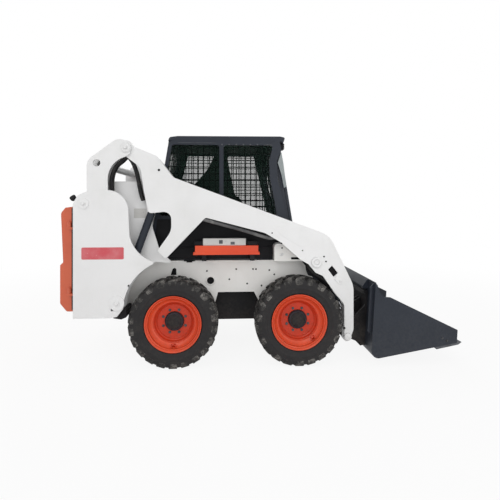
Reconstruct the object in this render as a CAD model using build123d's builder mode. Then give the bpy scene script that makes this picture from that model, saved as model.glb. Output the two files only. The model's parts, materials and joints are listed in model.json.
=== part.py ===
from build123d import *
import math
import os

# Skid steer loader with radius lift arms, a quick coupler and a dirt bucket.
# Millimetres. X points forward, Y to the operator's left and Z up. The origin is on the
# ground under the middle of the machine's length, with its arms down. Side profiles are
# sketched on side_plane(y): its first axis is the distance ahead of the middle of the
# wheelbase, and its second axis is the height above the ground.

os.makedirs("parts", exist_ok=True)

# ---- Overall ------------------------------------------------------------------------
rear_reach = 1495.0  # back face of the tailgate, behind the middle of the wheelbase
front_reach = 1914.0  # tip of the bucket's cutting edge, ahead of it
mid_x = (rear_reach - front_reach) / 2
wheelbase = 1059.0
front_axle_x = wheelbase / 2
plate = 10.0  # structural plate
sheet = 6.0  # covers and guards
gap = 8.0  # between pieces that move past each other
curve_gap = 0.3  # between round faces of different pieces
pin_gap = 0.05  # running clearance of a pin, on the radius

# ---- Wheels -------------------------------------------------------------------------
tyre_radius = 376.0
tyre_width = 264.0
tyre_wall = 24.0
lug_depth = 26.0
lug_count = 22  # on each side of the tread
wheel_y = 628.0  # middle of the tyre from the machine's centre plane
rim_radius = 210.0
flange_radius = 237.0
rim_depth = 115.0  # from the outer flange in to the disc
rim_steel = 7.0
hub_radius = 80.0
hub_flange_radius = 132.0
axle_radius = 40.0
axle_tube_radius = 62.0
axle_z = tyre_radius

# ---- Chassis ------------------------------------------------------------------------
body_y = 480.0  # outer face of the chassis sides
case_y = 400.0  # side of the drive case between the wheels
case_low = 321.0
deck_low = 586.0  # underside of the chassis floor
chassis_top = 870.0
firewall_x = -640.0
tray_front_x = -772.0
front_top_x = 590.0
chassis_low_rear = 440.0
tailgate_depth = 110.0
upright_rear_x = tailgate_depth - rear_reach  # back edge of the uprights
rear_plate_x = upright_rear_x + gap

# ---- Uprights -----------------------------------------------------------------------
fender_y = 742.0  # outer face of the fender plate
horn_y = fender_y - plate
arm_y = horn_y - 2 * plate  # outer face of a lift arm
arm_width = 90.0
inner_y = arm_y - arm_width - plate  # outer face of the upright's inner plate
cylinder_y = arm_y - arm_width / 2
pivot_x, pivot_z = -916.0, 1843.0
pivot_radius = 25.0
cross_tube_x, cross_tube_z = -1151.0, 1714.0
cross_tube_radius = 38.0
cross_tube_bore = 30.0
upright_low = 448.0

# ---- Lift arms ----------------------------------------------------------------------
arm_end_radius = 60.0
arm_steel = 8.0
arm_tyre_gap = 16.0
knee_x, knee_z = front_axle_x + 150.5, 900.0  # cross member between the arms
knee_radius = 50.0
leg_rear_x = front_axle_x + tyre_radius + arm_tyre_gap
leg_front_x = leg_rear_x + 79.5
leg_low_z = 202.0

# ---- Lift cylinders, pinned at lift_base on the uprights and lift_eye on the arms ----
lift_base_x, lift_base_z = -985.0, 562.0
lift_eye_x, lift_eye_z = -700.0, 1350.0
lift_barrel_radius = 32.0
lift_rod_radius = 20.0
lift_pin_radius = 20.0
lift_eye_radius = 36.0
lift_closed, lift_open = 838.0, 1398.0  # between the pins

# ---- Tilt cylinders, pinned at tilt_base on the cross member and tilt_eye on the coupler
tilt_y = 430.0
tilt_base_x, tilt_base_z = knee_x + 72, 838.0
tilt_eye_x, tilt_eye_z = leg_front_x - 10, 395.0
tilt_barrel_radius = 32.0
tilt_rod_radius = 18.0
tilt_pin_radius = 16.0
tilt_eye_radius = 30.0
tilt_closed, tilt_open = 450.0, 750.0  # between the pins

# ---- Coupler and bucket -------------------------------------------------------------
hinge_x, hinge_z = leg_front_x - 51, 240.0
hinge_radius = 20.0
ear_radius = 38.0
bucket_y = 787.0
bucket_steel = 8.0
bucket_side = 10.0
rib_depth = 30.0
heel_x, heel_z = hinge_x + 177, 64.0
heel_radius = 60.0
back_height = 650.0
floor_angle = 9.8  # the bucket is parked rolled back by this much
edge_steel = 20.0
edge_depth = 224.0  # cutting edge, from its tip back under the floor
side_setback = 42.0  # of the side plates' foot, behind the tip

# ---- Cab ----------------------------------------------------------------------------
cab_y = 475.0
cab_wall = 30.0
cab_low = 880.0
cab_top = 1986.0
roof_depth = 46.0
roof_low = cab_top - roof_depth
cab_pivot_x, cab_pivot_z = -790.0, 895.0
cab_ear_y = 320.0
cab_pin_radius = 10.0
door_foot_x, door_foot_z = 560.0, 966.0
door_lean = 9.4
door_top_gap = 81.0  # from the door's upper edge to the underside of the roof
door_y = 432.0
door_steel = 24.0
door_hinge_y = 450.0
door_hinges = (160.0, 740.0)  # height of each hinge above the door's foot
lamp_low = roof_low - 71
door_pin_radius = 6.0


def side_plane(y):
    """Upright plane at y: x ahead of the wheelbase's middle, then height above ground."""
    return Plane(origin=(mid_x, y, 0), x_dir=(1, 0, 0), z_dir=(0, -1, 0))


def at(x, y, z):
    """Place given from the middle of the wheelbase, as a place in the model."""
    return (mid_x + x, y, z)


def box_between(low, high):
    """Box from its low corner to its high corner, both given from the wheelbase's middle."""
    size = [h - l for l, h in zip(low, high)]
    middle = [(l + h) / 2 for l, h in zip(low, high)]
    with Locations(at(*middle)):
        return Box(*size)


pieces = {}


def add_pair(name, right):
    """Stores the right-hand piece and its mirror image on the left."""
    with BuildPart() as left:
        mirror(right.part, about=Plane.XZ)
    pieces[name + "_right"] = right
    pieces[name + "_left"] = left


# ---- Wheels: tyre, rim and hub about the Y axis, with the outer side towards -Y ----------
# The tyre is flat facets. Lugs and grooves take turns on each side of the tread.
half_width = tyre_width / 2
wall_low = half_width - 22
tread_radius = tyre_radius - lug_depth
sidewall = half_width - 6
sector_angle = math.pi / lug_count  # one lug, or the groove beside it
seat_radius = (rim_radius + curve_gap) / math.cos(sector_angle)  # flats clear the rim's round
bead_radius = (flange_radius + 1) / math.cos(sector_angle)
lug_root = 296.0  # radius at which a lug's side runs into the sidewall
ring_radius = 284.0  # inner edge of the flat ring below the lugs
lug_inner_y = 10.0


def around(turn, radius, y):
    """Point at a turn about the wheel's axle, counted in lugs or grooves."""
    return (radius * math.cos(turn * sector_angle), y, radius * math.sin(turn * sector_angle))


def flat(*points):
    """Flat face with those corners."""
    return Face(Wire.make_polygon([Vector(*point) for point in points], close=True))


# Half of the tyre's section, as radius and distance from its middle, outwards from the bead.
bead_half = [
    (ring_radius, sidewall), (bead_radius, wall_low), (seat_radius, wall_low - 8),
    (seat_radius, wall_low - 30), (tread_radius - tyre_wall, sidewall - 2 * tyre_wall),
]
lug_half = [
    (lug_root, sidewall), (346, half_width), (tyre_radius, half_width - 16),
    (tyre_radius, lug_inner_y), (tread_radius, lug_inner_y),
]
groove_half = [(lug_root, sidewall), (tread_radius, sidewall - 22), (tread_radius, lug_inner_y)]
tyre_faces = []
for turn in range(2 * lug_count):
    for side in (-1, 1):
        has_lug = (turn % 2 == 0) == (side < 0)
        half = lug_half if has_lug else groove_half
        for (r1, y1), (r2, y2) in zip(half, half[1:]):
            tyre_faces.append(flat(
                around(turn, r1, side * y1), around(turn, r2, side * y2),
                around(turn + 1, r2, side * y2), around(turn + 1, r1, side * y1),
            ))
        flank = [(r, side * y) for r, y in lug_half + groove_half[1:2]]
        tyre_faces.append(flat(*[around(turn, r, y) for r, y in flank]))
    tyre_faces.append(flat(
        around(turn, tread_radius, -lug_inner_y), around(turn, tread_radius, lug_inner_y),
        around(turn + 1, tread_radius, lug_inner_y), around(turn + 1, tread_radius, -lug_inner_y),
    ))
    if turn % 2:
        continue
    # the ring, the beads and the hollow are in facets two sectors long
    last_r, last_y = bead_half[-1]
    for side in (-1, 1):
        outer = side * sidewall
        tyre_faces.append(flat(
            around(turn, ring_radius, outer), around(turn, lug_root, outer),
            around(turn + 1, lug_root, outer), around(turn + 2, lug_root, outer),
            around(turn + 2, ring_radius, outer),
        ))
        for (r1, y1), (r2, y2) in zip(bead_half, bead_half[1:]):
            tyre_faces.append(flat(
                around(turn, r1, side * y1), around(turn, r2, side * y2),
                around(turn + 2, r2, side * y2), around(turn + 2, r1, side * y1),
            ))
    tyre_faces.append(flat(
        around(turn, last_r, -last_y), around(turn, last_r, last_y),
        around(turn + 2, last_r, last_y), around(turn + 2, last_r, -last_y),
    ))
with BuildPart() as tyre:
    add(Solid(Shell(tyre_faces)))

rim_half = wall_low + 6
disc_y = rim_depth - rim_half
with BuildPart() as rim:
    with BuildSketch(Plane.XY):
        with BuildLine():
            Polyline(
                (rim_radius - rim_steel, -rim_half + 12),
                (flange_radius, -rim_half),
                (flange_radius, -wall_low),
                (rim_radius, -wall_low + 7.6),
                (rim_radius, wall_low - 7.6),
                (flange_radius, wall_low),
                (flange_radius, rim_half),
                (rim_radius - rim_steel, rim_half - 12),
                close=True,
            )
        make_face()
        with BuildLine():
            Polyline(
                (rim_radius - 1, disc_y - 44),
                (rim_radius - 1, disc_y - 32),
                (168, disc_y),
                (168, disc_y + rim_steel),
                (hub_radius + 2, disc_y + rim_steel),
                (hub_radius + 2, disc_y),
                (160, disc_y),
                (160, disc_y - 16),
                (180, disc_y - 28),
                close=True,
            )
        make_face()
    revolve(axis=Axis.Y)

hub_back = disc_y + rim_steel
axle_end = wheel_y - case_y - 40
with BuildPart() as hub:
    with BuildSketch(Plane.XY):
        with BuildLine():
            Polyline(
                (0, disc_y - 24),
                (hub_radius - 12, disc_y - 24),
                (hub_radius, disc_y - 14),
                (hub_radius, hub_back),
                (hub_flange_radius, hub_back),
                (hub_flange_radius, hub_back + 12),
                (axle_radius + 18, hub_back + 40),
                (axle_radius, hub_back + 40),
                (axle_radius, axle_end),
                (0, axle_end),
                close=True,
            )
        make_face()
    revolve(axis=Axis.Y)

wheel_places = [  # name, x from the wheelbase's middle, side (-1 right, 1 left)
    ("rear_right", -front_axle_x, -1),
    ("front_right", front_axle_x, -1),
    ("rear_left", -front_axle_x, 1),
    ("front_left", front_axle_x, 1),
]
for corner, wheel_x, hand in wheel_places:
    for kind, turned in (("tyre", tyre), ("rim", rim), ("hub", hub)):
        outward = 0 if hand < 0 else 180
        place = Location(at(wheel_x, hand * wheel_y, axle_z), (0, 0, outward))
        with BuildPart() as placed:
            add(turned.part.moved(place))
        pieces[f"{kind}_{corner}"] = placed

# ---- Chassis -------------------------------------------------------------------------
side_outline = [  # x, z
    (rear_plate_x, chassis_low_rear),
    (rear_plate_x, chassis_top),
    (front_top_x, chassis_top),
    (645, 790),
    (805, 540),
    (780, 400),
    (735, case_low + 4),
    (240, case_low + 4),
    (198, 516),
    (162, deck_low),
    (-161, deck_low),
    (-180, 516),
    (-240, case_low + 4),
    (-760, case_low + 4),
    (-860, chassis_low_rear),
]
tie_hole_x, tie_hole_z, tie_hole_radius = -228.0, 690.0, 32.0
rest_width = 120.0
inside = body_y - plate
pad_y = 462.0
with BuildPart() as chassis_sides:
    for side in (1, -1):
        with BuildSketch(side_plane(side * inside)):
            with BuildLine():
                Polyline(side_outline, close=True)
            make_face()
            with Locations((tie_hole_x, tie_hole_z)):
                Circle(tie_hole_radius, mode=Mode.SUBTRACT)
            for wheel_x in (-front_axle_x, front_axle_x):
                with Locations((wheel_x, axle_z)):
                    Circle(axle_tube_radius + curve_gap, mode=Mode.SUBTRACT)
        extrude(amount=-side * plate)
        # pad under the front of the cab
        near, far = sorted((side * pad_y, side * body_y))
        box_between((400, near, chassis_top), (470, far, cab_low - curve_gap))
pieces["chassis_sides"] = chassis_sides

# rests beside the front wheels, under the lift arms
with BuildPart() as arm_rests:
    for side in (1, -1):
        with BuildSketch(side_plane(side * body_y)):
            with BuildLine():
                FilletPolyline(
                    (327, 830), (327, 1034), (470, 1034), (600, 872), (600, 830),
                    radius=[0, 34, 30, 10, 0], close=True,
                )
            make_face()
        extrude(amount=-side * rest_width)
pieces["arm_rests"] = arm_rests

with BuildPart() as main_frame:
    # floor, engine tray with its step, firewall and rear cross plate
    box_between((tray_front_x, -inside, deck_low), (560, inside, deck_low + sheet))
    tray_top = chassis_low_rear + sheet
    box_between((rear_plate_x, -inside, chassis_low_rear), (tray_front_x, inside, tray_top))
    box_between((tray_front_x - sheet, -inside, tray_top - sheet), (tray_front_x, inside, deck_low + sheet))
    box_between((firewall_x, -inside, deck_low), (firewall_x + sheet, inside, chassis_top))
    box_between((rear_plate_x, -inside, chassis_low_rear), (rear_plate_x + plate, inside, 620))
    # sloping front plate under the door
    with BuildSketch(side_plane(-inside)):
        with BuildLine():
            Polyline(
                (front_top_x, chassis_top),
                (645, 790),
                (805, 540),
                (780, 400),
                (780 - plate, 400),
                (805 - plate, 538),
                (645 - plate, 788),
                (front_top_x - plate, chassis_top),
                close=True,
            )
        make_face()
    extrude(amount=-2 * inside)
    # cross channel with the ears and pins that the cab tilts on
    box_between((-840, -inside, 836), (-776, inside, 836 + sheet))
    for side in (1, -1):
        with BuildSketch(side_plane(side * cab_ear_y)):
            with BuildLine():
                Polyline((-836, 838), (-780, 838), (-778, cab_pivot_z), (-804, cab_pivot_z), close=True)
            make_face()
            with Locations((cab_pivot_x, cab_pivot_z)):
                Circle(16)
        extrude(amount=5, both=True)
        with BuildSketch(side_plane(side * cab_ear_y)):
            with Locations((cab_pivot_x, cab_pivot_z)):
                Circle(cab_pin_radius)
        extrude(amount=24, both=True)
pieces["main_frame"] = main_frame

with BuildPart() as drive_case:
    with BuildSketch(side_plane(-case_y)):
        with BuildLine():
            Polyline(
                (-700, deck_low), (-760, 420), (-700, case_low), (680, case_low),
                (740, 420), (680, deck_low), close=True,
            )
        make_face()
    extrude(amount=-2 * case_y)
    with BuildSketch(side_plane(-case_y + sheet)):
        with BuildLine():
            Polyline(
                (-690, deck_low - sheet), (-750, 420), (-695, case_low + sheet),
                (675, case_low + sheet), (730, 420), (670, deck_low - sheet), close=True,
            )
        make_face()
    extrude(amount=-2 * (case_y - sheet), mode=Mode.SUBTRACT)
pieces["drive_case"] = drive_case

axle_tube_length = wheel_y - case_y - 75
with BuildPart() as axle_tubes:
    for side in (1, -1):
        for wheel_x in (-front_axle_x, front_axle_x):
            with BuildSketch(side_plane(side * case_y)):
                with Locations((wheel_x, axle_z)):
                    Circle(axle_tube_radius)
            extrude(amount=-side * axle_tube_length)
            with BuildSketch(side_plane(side * (case_y + 20))):
                with Locations((wheel_x, axle_z)):
                    Circle(axle_radius + pin_gap)
            extrude(amount=-side * axle_tube_length, mode=Mode.SUBTRACT)
pieces["axle_tubes"] = axle_tubes

# ---- Uprights ------------------------------------------------------------------------
grille_hinge_x, grille_hinge_z = -1012.0, 1420.0
grille_pin_radius = 10.0
arch_foot = (-936, 512)
arch_middle = (-830, 775)
arch_tip = (-690, 880)
with BuildPart() as upright_right:
    # fender plate, the outermost sheet
    with BuildSketch(side_plane(-horn_y)):
        with BuildLine():
            Line((-690, 897), arch_tip)
            ThreePointArc(arch_tip, arch_middle, arch_foot)
            Polyline(
                arch_foot, (-985, 448), (-1045, upright_low - 10),
                (upright_rear_x, upright_low - 10), (upright_rear_x, 1372),
            )
            ThreePointArc(
                (upright_rear_x, 1372), (upright_rear_x + 67, 1433), (upright_rear_x + 160, 1479)
            )
            Line((upright_rear_x + 160, 1479), (-1060, 1491))
            ThreePointArc((-1060, 1491), (-935, 1430), (-892, 1294))
            Line((-892, 1294), (-884, 1112))
            ThreePointArc((-884, 1112), (-815, 980), (-690, 897))
        make_face()
        with Locations((-1025, 505), (-888, 701)):
            Circle(11, mode=Mode.SUBTRACT)
    extrude(amount=plate)
    # outer plate of the horn, behind the fender plate
    with BuildSketch(side_plane(-(horn_y - plate))):
        with BuildLine():
            Polyline((-1058, 1300), (-1231, 1300), (-1231, 1688))
            ThreePointArc((-1231, 1688), (-1217, 1736), (-1183, 1771))
            Polyline((-1183, 1771), (-1094, 1837), (-1013, 1896))
            ThreePointArc((-1013, 1896), (-917, 1898), (-884, 1792))
            Line((-884, 1792), (-924, 1764))
            ThreePointArc((-924, 1764), (-1029, 1689), (-1062, 1580))
            Line((-1062, 1580), (-1058, 1300))
        make_face()
        with Locations((cross_tube_x, cross_tube_z)):
            Circle(cross_tube_bore, mode=Mode.SUBTRACT)
    extrude(amount=plate)
    # inner plate, from the wheel arch up to the pivot
    with BuildSketch(side_plane(-(inner_y - plate))):
        with BuildLine():
            Polyline((-560, 885), (-575, 870), arch_tip)
            ThreePointArc(arch_tip, arch_middle, arch_foot)
            Polyline(
                arch_foot, (-985, 448), (upright_rear_x, upright_low), (upright_rear_x, 1340),
                (-1231, 1400), (-1231, 1688),
            )
            ThreePointArc((-1231, 1688), (-1217, 1736), (-1183, 1771))
            Polyline((-1183, 1771), (-1094, 1837), (-1013, 1896))
            ThreePointArc((-1013, 1896), (-917, 1898), (-884, 1792))
            Line((-884, 1792), (-924, 1764))
            ThreePointArc((-924, 1764), (-1020, 1700), (-1058, 1600))
            Polyline(
                (-1058, 1600), (-1050, 1568), (-760, 1568), (-715, 1165), (-655, 972), (-560, 885)
            )
        make_face()
        with Locations((cross_tube_x, cross_tube_z)):
            Circle(cross_tube_bore, mode=Mode.SUBTRACT)
        with Locations((grille_hinge_x, grille_hinge_z)):
            Circle(grille_pin_radius + pin_gap, mode=Mode.SUBTRACT)
    extrude(amount=plate)
    # webs between the plates: back edge, horn edge and the top of the wheel arch
    box_between((upright_rear_x, -horn_y, upright_low), (upright_rear_x + plate, -inner_y, 1345))
    for start, end in (((-1227, 1420), (-1227, 1690)), ((-1175, 1772), (-1020, 1886))):
        run = math.hypot(end[0] - start[0], end[1] - start[1])
        turn = math.degrees(math.atan2(end[1] - start[1], end[0] - start[0]))
        with BuildSketch(side_plane(-inner_y)):
            with Locations(((start[0] + end[0]) / 2, (start[1] + end[1]) / 2)):
                Rectangle(run, plate - 2, rotation=turn)
        extrude(amount=horn_y - plate - inner_y)
    # box that joins the upright to the chassis side
    box_between((upright_rear_x, -inner_y, upright_low), (upright_rear_x + plate, -body_y, chassis_top))
    box_between((upright_rear_x, -horn_y, upright_low), (-1045, -body_y, upright_low + plate))
    box_between((upright_rear_x, -inner_y, chassis_top - plate), (-900, -body_y, chassis_top))
    # pivot pin with its outer head, and the lift cylinder's pin with its boss
    for pin_x, pin_z, pin_radius, boss_radius, outer in (
        (pivot_x, pivot_z, pivot_radius, 44, horn_y),
        (lift_base_x, lift_base_z, lift_pin_radius, 62, fender_y),
    ):
        with BuildSketch(side_plane(-(inner_y - plate))):
            with Locations((pin_x, pin_z)):
                Circle(pin_radius)
        extrude(amount=outer - inner_y + plate)
        with BuildSketch(side_plane(-outer)):
            with Locations((pin_x, pin_z)):
                Circle(boss_radius)
        extrude(amount=plate)
    with BuildSketch(side_plane(-fender_y)):
        with Locations((-1254, 1380)):
            Circle(44)
    extrude(amount=plate)
add_pair("upright", upright_right)

with BuildPart() as cross_tube:
    with BuildSketch(side_plane(-(inner_y - plate))):
        with Locations((cross_tube_x, cross_tube_z)):
            Circle(cross_tube_radius)
            Circle(cross_tube_bore, mode=Mode.SUBTRACT)
    extrude(amount=-2 * (inner_y - plate))
pieces["upright_cross_tube"] = cross_tube

# ---- Engine bay ----------------------------------------------------------------------
with BuildPart() as engine:
    box_between((rear_plate_x + 87, -260, chassis_low_rear + sheet), (-920, 260, 1120))
    with Locations(at(-1040, 0, 1150)):
        Box(180, 300, 60)
pieces["engine_block"] = engine

cooler_rear_x = upright_rear_x + 15
cooler_front_x = grille_hinge_x - 18
cooler_low = grille_hinge_z - 205
cooler_y = 430.0
with BuildPart() as cooler:
    box_between((cooler_rear_x, -cooler_y, cooler_low), (cooler_front_x, cooler_y, cooler_low + 75))
    bracket_y = inner_y - plate - curve_gap
    box_between(
        (cooler_rear_x, -bracket_y, cooler_low + 25), (cooler_front_x, bracket_y, cooler_low + 37)
    )
pieces["cooler"] = cooler

# ---- Tailgate, hinged at its right edge ------------------------------------------------
tailgate_y = 598.0
tailgate_front_x = upright_rear_x - gap
tail_hinge_x, tail_hinge_y = tailgate_front_x - 19, -618.0
tail_pin_radius = 8.0
knuckle_radius = 14.0
knuckle_length = 40.0
knuckle_heights = (620.0, 1180.0)
gate_back_x = -rear_reach
louvres, louvre_pitch = 9, 36.0
with BuildPart() as tailgate:
    with BuildSketch(side_plane(-tailgate_y)):
        with BuildLine():
            FilletPolyline(
                (tailgate_front_x, 462), (gate_back_x + 55, 462), (gate_back_x, 530),
                (gate_back_x, 856), (gate_back_x + 25, 880), (gate_back_x + 7, 1300),
                (gate_back_x + 45, 1345), (tailgate_front_x, 1352),
                radius=[0, 20, 30, 10, 10, 40, 10, 0], close=True,
            )
        make_face()
    extrude(amount=-2 * tailgate_y)
    with BuildSketch(side_plane(-tailgate_y + plate)):
        with BuildLine():
            Polyline(
                (tailgate_front_x + 1, 474), (gate_back_x + 61, 474), (gate_back_x + 15, 540),
                (gate_back_x + 15, 850), (gate_back_x + 37, 872), (gate_back_x + 21, 1290),
                (gate_back_x + 49, 1332), (tailgate_front_x + 1, 1340), close=True,
            )
        make_face()
    extrude(amount=-2 * (tailgate_y - plate), mode=Mode.SUBTRACT)
    for louvre in range(louvres):
        with Locations(at(gate_back_x + 30, 0, 930 + louvre * louvre_pitch)):
            Box(70, 660, 16, mode=Mode.SUBTRACT)
    hinge_spot = at(tail_hinge_x, tail_hinge_y, 0)[:2]
    for knuckle_z in knuckle_heights:
        with BuildSketch(Plane.XY.offset(knuckle_z)):
            with Locations(hinge_spot):
                Circle(knuckle_radius)
            with Locations(at(tail_hinge_x, (tail_hinge_y - tailgate_y) / 2, 0)[:2]):
                Rectangle(2 * knuckle_radius, -tail_hinge_y - tailgate_y + 1)
            with Locations(hinge_spot):
                Circle(tail_pin_radius + pin_gap, mode=Mode.SUBTRACT)
        extrude(amount=knuckle_length)
pieces["tailgate"] = tailgate

with BuildPart() as tail_hinges:
    for knuckle_z in knuckle_heights:
        box_between(
            (tail_hinge_x - 12, tail_hinge_y - 16, knuckle_z - 20),
            (upright_rear_x, tail_hinge_y + 14, knuckle_z - curve_gap),
        )
        with BuildSketch(Plane.XY.offset(knuckle_z - 10)):
            with Locations(hinge_spot):
                Circle(tail_pin_radius)
        extrude(amount=knuckle_length + 20)
pieces["tailgate_hinges"] = tail_hinges

lamp_y = 510.0
with BuildPart() as tail_lamps:
    for side in (1, -1):
        box_between(
            (gate_back_x + 1, side * lamp_y - 45, 1150), (gate_back_x + 19, side * lamp_y + 45, 1260)
        )
    add(tailgate.part, mode=Mode.SUBTRACT)
pieces["tail_lamps"] = tail_lamps

# ---- Rear grille over the engine, hinged at its front edge ----------------------------
grille_y = inner_y - plate - gap
slat_pitch = (grille_hinge_x - upright_rear_x - 109) / 6
with BuildPart() as rear_grille:
    with BuildSketch(side_plane(-grille_y)):
        with BuildLine():
            Polyline(
                (upright_rear_x + 13, 1362), (grille_hinge_x, 1406), (grille_hinge_x, 1434),
                (-1180, 1428), (upright_rear_x + 13, 1392), close=True,
            )
        make_face()
    extrude(amount=-2 * grille_y)
    with BuildSketch(Plane.XY.offset(1300)):
        for row in range(7):
            with Locations(at(upright_rear_x + 55 + slat_pitch * row, 0, 0)[:2]):
                with GridLocations(0, 560, 1, 2):
                    Rectangle(24, 500)
    extrude(amount=200, mode=Mode.SUBTRACT)
    for side in (1, -1):
        with BuildSketch(side_plane(side * grille_y)):
            with Locations((grille_hinge_x, grille_hinge_z)):
                Circle(grille_pin_radius)
        extrude(amount=-side * (gap + plate - 2))
pieces["rear_grille"] = rear_grille

# ---- Lift arms -----------------------------------------------------------------------
arm_outline = [  # x, z, corner radius
    (-905, 1872, 0),
    (-664, 1776, 90),
    (-530, 1598, 60),
    (knee_x + 113, 1107, 200),
    (leg_front_x, 678, 200),
    (leg_front_x, 300, 60),
    (leg_front_x - 36, leg_low_z, 30),
    (leg_rear_x, leg_low_z, 12),
    (leg_rear_x, 520, 60),
    (knee_x + 160, 612, 0),
    (knee_x + 55, 762, 30),
    (knee_x - 8, 790, 20),
    (knee_x - 68, 862, 20),
    (knee_x - 135, 900, 30),
    (knee_x - 305, 1050, 80),
    (240, 1130, 100),
    (-262, 1262, 30),
    (-594, 915, 20),
    (-662, 985, 20),
    (-545, 1150, 150),
    (-548, 1315, 60),
    (-735, 1298, 30),
    (-775, 1500, 300),
    (-800, 1680, 100),
    (-955, 1797, 0),
]
arm_inside = [  # the hollow of the beam: x, z
    (-620, 1700),
    (-545, 1580),
    (knee_x + 20, 1118),
    (knee_x + 160, 960),
    (knee_x + 90, 800),
    (knee_x - 40, 900),
    (knee_x - 280, 1060),
    (-300, 1275),
    (-520, 1330),
    (-640, 1400),
]
clevis_hollow = [  # slot for the lift cylinder's rod: x, z
    (-900, 1262),
    (-655, 1262),
    (-648, 1395),
    (-690, 1500),
    (-900, 1560),
]
with BuildPart() as arm_right:
    with BuildSketch(side_plane(-(arm_y - arm_width))):
        with BuildLine():
            FilletPolyline(
                [(x, z) for x, z, radius in arm_outline],
                radius=[radius for x, z, radius in arm_outline],
                close=True,
            )
        make_face()
        with Locations((pivot_x, pivot_z)):
            Circle(arm_end_radius)
            Circle(pivot_radius + pin_gap, mode=Mode.SUBTRACT)
        with Locations((hinge_x, hinge_z)):
            Circle(hinge_radius + pin_gap, mode=Mode.SUBTRACT)
    extrude(amount=arm_width)
    for hollow in (arm_inside, clevis_hollow):
        with BuildSketch(side_plane(-(arm_y - arm_width + arm_steel))):
            with BuildLine():
                Polyline(hollow, close=True)
            make_face()
        extrude(amount=arm_width - 2 * arm_steel, mode=Mode.SUBTRACT)
    # pocket in the outer face, and the boss over the cross member's end
    with BuildSketch(side_plane(-arm_y)):
        with BuildLine():
            Polyline(
                (knee_x + 100, 816), (knee_x + 134, 850), (knee_x + 186, 785), (knee_x + 147, 752),
                close=True,
            )
        make_face()
    extrude(amount=-40, mode=Mode.SUBTRACT)
    with BuildSketch(side_plane(-arm_y)):
        with Locations((knee_x, knee_z - 22)):
            Circle(46)
    extrude(amount=6)
    # stubs that hold the rod's eye
    for low_y, high_y in (
        (arm_y - arm_width, arm_y - arm_width + arm_steel + 3),
        (arm_y - arm_steel - 3, arm_y),
    ):
        with BuildSketch(side_plane(-low_y)):
            with Locations((lift_eye_x, lift_eye_z)):
                Circle(lift_pin_radius)
        extrude(amount=high_y - low_y)
add_pair("arm", arm_right)

arm_inner_y = arm_y - arm_width
tilt_lug = 14.0
tilt_eye_width = 50.0
tilt_slot = tilt_eye_width / 2 + 2
with BuildPart() as arm_cross:
    with BuildSketch(side_plane(-arm_inner_y)):
        with Locations((knee_x, knee_z)):
            Circle(knee_radius)
            Circle(knee_radius - plate, mode=Mode.SUBTRACT)
    extrude(amount=-2 * arm_inner_y)
    for side in (1, -1):
        for cheek in (-1, 1):
            near = side * (tilt_y + cheek * (tilt_slot + tilt_lug / 2))
            with BuildSketch(side_plane(near)):
                with BuildLine():
                    Polyline(
                        (knee_x - 20, knee_z + 40), (knee_x + 50, knee_z + 10),
                        (tilt_base_x + 30, tilt_base_z + 14), (tilt_base_x + 26, tilt_base_z - 22),
                        (tilt_base_x - 20, tilt_base_z - 30), (knee_x - 20, knee_z - 40), close=True,
                    )
                make_face()
                with Locations((knee_x, knee_z)):
                    Circle(knee_radius - plate / 2, mode=Mode.SUBTRACT)
            extrude(amount=tilt_lug / 2, both=True)
        with BuildSketch(side_plane(side * tilt_y)):
            with Locations((tilt_base_x, tilt_base_z)):
                Circle(tilt_pin_radius)
        extrude(amount=tilt_slot + tilt_lug, both=True)
pieces["arm_cross_member"] = arm_cross


def cylinder_pair(
    base, eye, at_y, barrel_radius, rod_radius, eye_radius, pin_radius, eye_width, closed, opened
):
    """Barrels with their base eyes, and rods with their eyes, for both sides of the machine."""
    length = math.hypot(eye[0] - base[0], eye[1] - base[1])
    lean = math.degrees(math.atan2(eye[1] - base[1], eye[0] - base[0]))
    gland = closed - eye_radius - 14
    rod_start = gland - 50 - (opened - length)
    with BuildPart() as barrels:
        for side in (1, -1):
            along = Plane(
                origin=at(base[0], side * at_y, base[1]),
                x_dir=(0, 1, 0),
                z_dir=(math.cos(math.radians(lean)), 0, math.sin(math.radians(lean))),
            )
            with BuildSketch(along):
                Circle(eye_width / 2 - 3)
            extrude(amount=eye_radius + 20)
            with BuildSketch(along.offset(eye_radius + 16)):
                Circle(barrel_radius)
            extrude(amount=gland - eye_radius - 24)
            with BuildSketch(along.offset(gland - 8)):
                Circle(barrel_radius - 4)
            extrude(amount=8)
            with BuildSketch(side_plane(side * at_y)):
                with Locations((base[0], base[1])):
                    Circle(eye_radius)
            extrude(amount=eye_width / 2, both=True)
            with BuildSketch(side_plane(side * at_y)):
                with Locations((base[0], base[1])):
                    Circle(pin_radius + pin_gap)
            extrude(amount=eye_width, both=True, mode=Mode.SUBTRACT)
            with BuildSketch(along.offset(eye_radius + 14)):
                Circle(rod_radius + curve_gap)
            extrude(amount=length, mode=Mode.SUBTRACT)
    with BuildPart() as rods:
        for side in (1, -1):
            along = Plane(
                origin=at(base[0], side * at_y, base[1]),
                x_dir=(0, 1, 0),
                z_dir=(math.cos(math.radians(lean)), 0, math.sin(math.radians(lean))),
            )
            with BuildSketch(along.offset(rod_start)):
                Circle(rod_radius)
            extrude(amount=length - rod_start - pin_radius - 4)
            with BuildSketch(side_plane(side * at_y)):
                with Locations((eye[0], eye[1])):
                    Circle(eye_radius)
            extrude(amount=eye_width / 2, both=True)
            with BuildSketch(side_plane(side * at_y)):
                with Locations((eye[0], eye[1])):
                    Circle(pin_radius + 0.5)
            extrude(amount=eye_width, both=True, mode=Mode.SUBTRACT)
    return barrels, rods


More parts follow.
